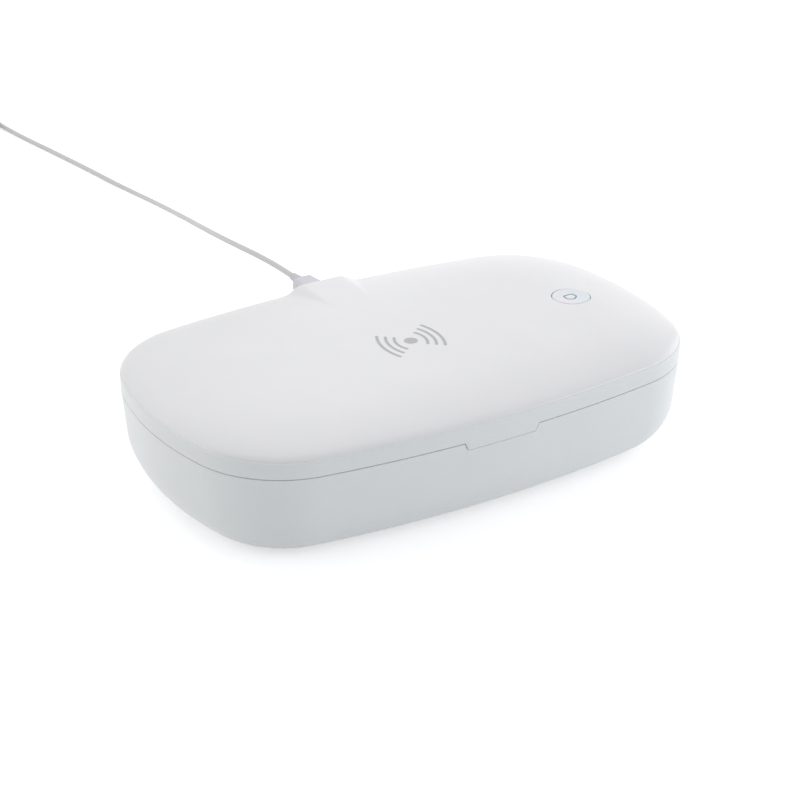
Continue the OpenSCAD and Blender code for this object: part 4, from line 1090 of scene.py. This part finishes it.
class BOX_OT_stage(bpy.types.Operator):
    """Camera, lights, world and floor"""

    bl_idname = "sanitizer_box.stage"
    bl_label = "Stage"

    def execute(self, context):
        self.camera(context)
        light = context.scene.box_light
        self.world(context, light.ambient)
        self.softbox("softbox_above", (0.0, 0.5, 0.8), 1.1, light.above, "#FFFEFF")
        self.softbox("softbox_left", (-1.0, 0.5, 0.45), 0.7, light.left, "#FFFBF2")
        self.softbox("softbox_right", (1.1, 0.1, 0.3), 0.7, light.right, "#FFFCFF")
        self.softbox("softbox_front", (0.85, -0.65, 0.2), 0.7, light.front, "#F9FBFF")
        self.softbox("softbox_rear", (0.8, 0.9, 0.35), 0.7, light.rear, "#FFFCFF")
        self.floor()
        context.scene.view_settings.view_transform = "Standard"
        return {"FINISHED"}

    def camera(self, context):
        """The photograph's camera: its place in mm, its axes as rows (right, up, back), and its
        focal length, all solved from the box's outline."""
        data = bpy.data.cameras.new("camera")
        data.sensor_width = 36.0
        data.lens = 92.971
        data.clip_start, data.clip_end = 0.01, 20.0
        thing = bpy.data.objects.new("camera", data)
        context.scene.collection.objects.link(thing)
        right = Vector((0.85218, -0.52324, 0.00332)).normalized()
        back = Vector((-0.46949, -0.76181, 0.44634)).normalized()
        up = back.cross(right).normalized()
        right = up.cross(back)
        turn = Matrix((right, up, back)).transposed().to_4x4()
        thing.matrix_world = Matrix.Translation(Vector((-376.52, -610.72, 377.78)) * MM) @ turn
        context.scene.camera = thing

    def softbox(self, name, place, size, power, colour):
        """A square lamp of that size in metres, aimed at the box's middle."""
        data = bpy.data.lights.new(name, "AREA")
        data.shape = "SQUARE"
        data.size = size
        data.energy = power
        data.color = linear(colour)[:3]
        thing = bpy.data.objects.new(name, data)
        bpy.context.scene.collection.objects.link(thing)
        thing.location = place
        aim = Vector((0.0, 0.0, 0.03)) - Vector(place)
        thing.rotation_euler = aim.to_track_quat("-Z", "Y").to_euler()

    def seen(self, tree):
        """1 for the rays by which the camera sees, directly, in metal or through glass: the
        largest of their flags."""
        path = add_node(tree, "ShaderNodeLightPath")
        flag = (path, "Is Camera Ray")
        for kind in ("Is Glossy Ray", "Is Transmission Ray"):
            both = {0: flag, 1: (path, kind)}
            flag = (add_node(tree, "ShaderNodeMath", {"operation": "MAXIMUM"}, both), 0)
        return flag

    def world(self, context, ambient):
        """An even pale light for the object, and white for what the camera and reflections see."""
        world = bpy.data.worlds.new("studio")
        context.scene.world = world
        world.use_nodes = True
        tree = world.node_tree
        tree.nodes.clear()
        even = add_node(tree, "ShaderNodeBackground", {"Color": linear("#FCFDFF"), "Strength": ambient})
        white = add_node(tree, "ShaderNodeBackground", {"Color": (1, 1, 1, 1), "Strength": 1.0})
        sides = {0: self.seen(tree), 1: (even, 0), 2: (white, 0)}
        mix = add_node(tree, "ShaderNodeMixShader", None, sides)
        add_node(tree, "ShaderNodeOutputWorld", None, {"Surface": (mix, 0)})

    def floor(self):
        """A white paper floor that takes the object's shadow. Its own light is added only for what
        the camera sees and what shows in metal and glass, so that it joins the background."""
        side, level = 6.0, -0.02 * MM
        corners = [(-side, -side, level), (side, -side, level), (side, side, level), (-side, side, level)]
        ground = mesh_object("floor", np.array(corners), [[0, 1, 2, 3]])
        material, tree, output = new_material("matt white paper")
        diffuse = add_node(tree, "ShaderNodeBsdfDiffuse", {"Color": linear("#F3F3F4")})
        glow = add_node(tree, "ShaderNodeEmission", {"Color": (1, 1, 1, 1), "Strength": 0.48})
        nothing = add_node(tree, "ShaderNodeEmission", {"Color": (0, 0, 0, 1), "Strength": 0.0})
        sides = {0: self.seen(tree), 1: (nothing, 0), 2: (glow, 0)}
        pick = add_node(tree, "ShaderNodeMixShader", None, sides)
        both = add_node(tree, "ShaderNodeAddShader", None, {0: (diffuse, 0), 1: (pick, 0)})
        tree.links.new(both.outputs[0], output.inputs["Surface"])
        ground.data.materials.append(material)


class BOX_PT_panel(bpy.types.Panel):
    """Lists the pieces in the 3D view's sidebar"""

    bl_idname = "BOX_PT_panel"
    bl_label = "Sanitizer box"
    bl_space_type = "VIEW_3D"
    bl_region_type = "UI"
    bl_category = "Sanitizer box"

    def draw(self, context):
        for maker in MAKERS:
            self.layout.operator(maker.bl_idname)
        for group in GROUPS:
            settings = getattr(context.scene, group, None)
            if settings:
                for key in settings.bl_rna.properties.keys():
                    if key not in ("rna_type", "name"):
                        self.layout.prop(settings, key)


MAKERS = (
    BOX_OT_stage, BOX_OT_lead, BOX_OT_base, BOX_OT_band, BOX_OT_cover, BOX_OT_tray, BOX_OT_button,
    BOX_OT_mark, BOX_OT_inside,
)
GROUPS = {
    "box_shape": BoxShape, "box_button": ButtonShape, "box_mark": MarkShape, "box_lead": LeadShape,
    "box_finishes": Finishes, "box_light": Light,
}
CLASSES = tuple(GROUPS.values()) + MAKERS + (BOX_PT_panel,)


def register():
    for kind in CLASSES:
        bpy.utils.register_class(kind)
    for name, kind in GROUPS.items():
        setattr(bpy.types.Scene, name, bpy.props.PointerProperty(type=kind))


def unregister():
    for name in GROUPS:
        delattr(bpy.types.Scene, name)
    for kind in reversed(CLASSES):
        bpy.utils.unregister_class(kind)


def main():
    register()
    for maker in MAKERS:
        group, name = maker.bl_idname.split(".")
        done = getattr(getattr(bpy.ops, group), name)()
        if done != {"FINISHED"}:
            raise RuntimeError(f"{maker.bl_label} did not finish")
    bpy.context.view_layer.update()


if __name__ == "__main__":
    main()
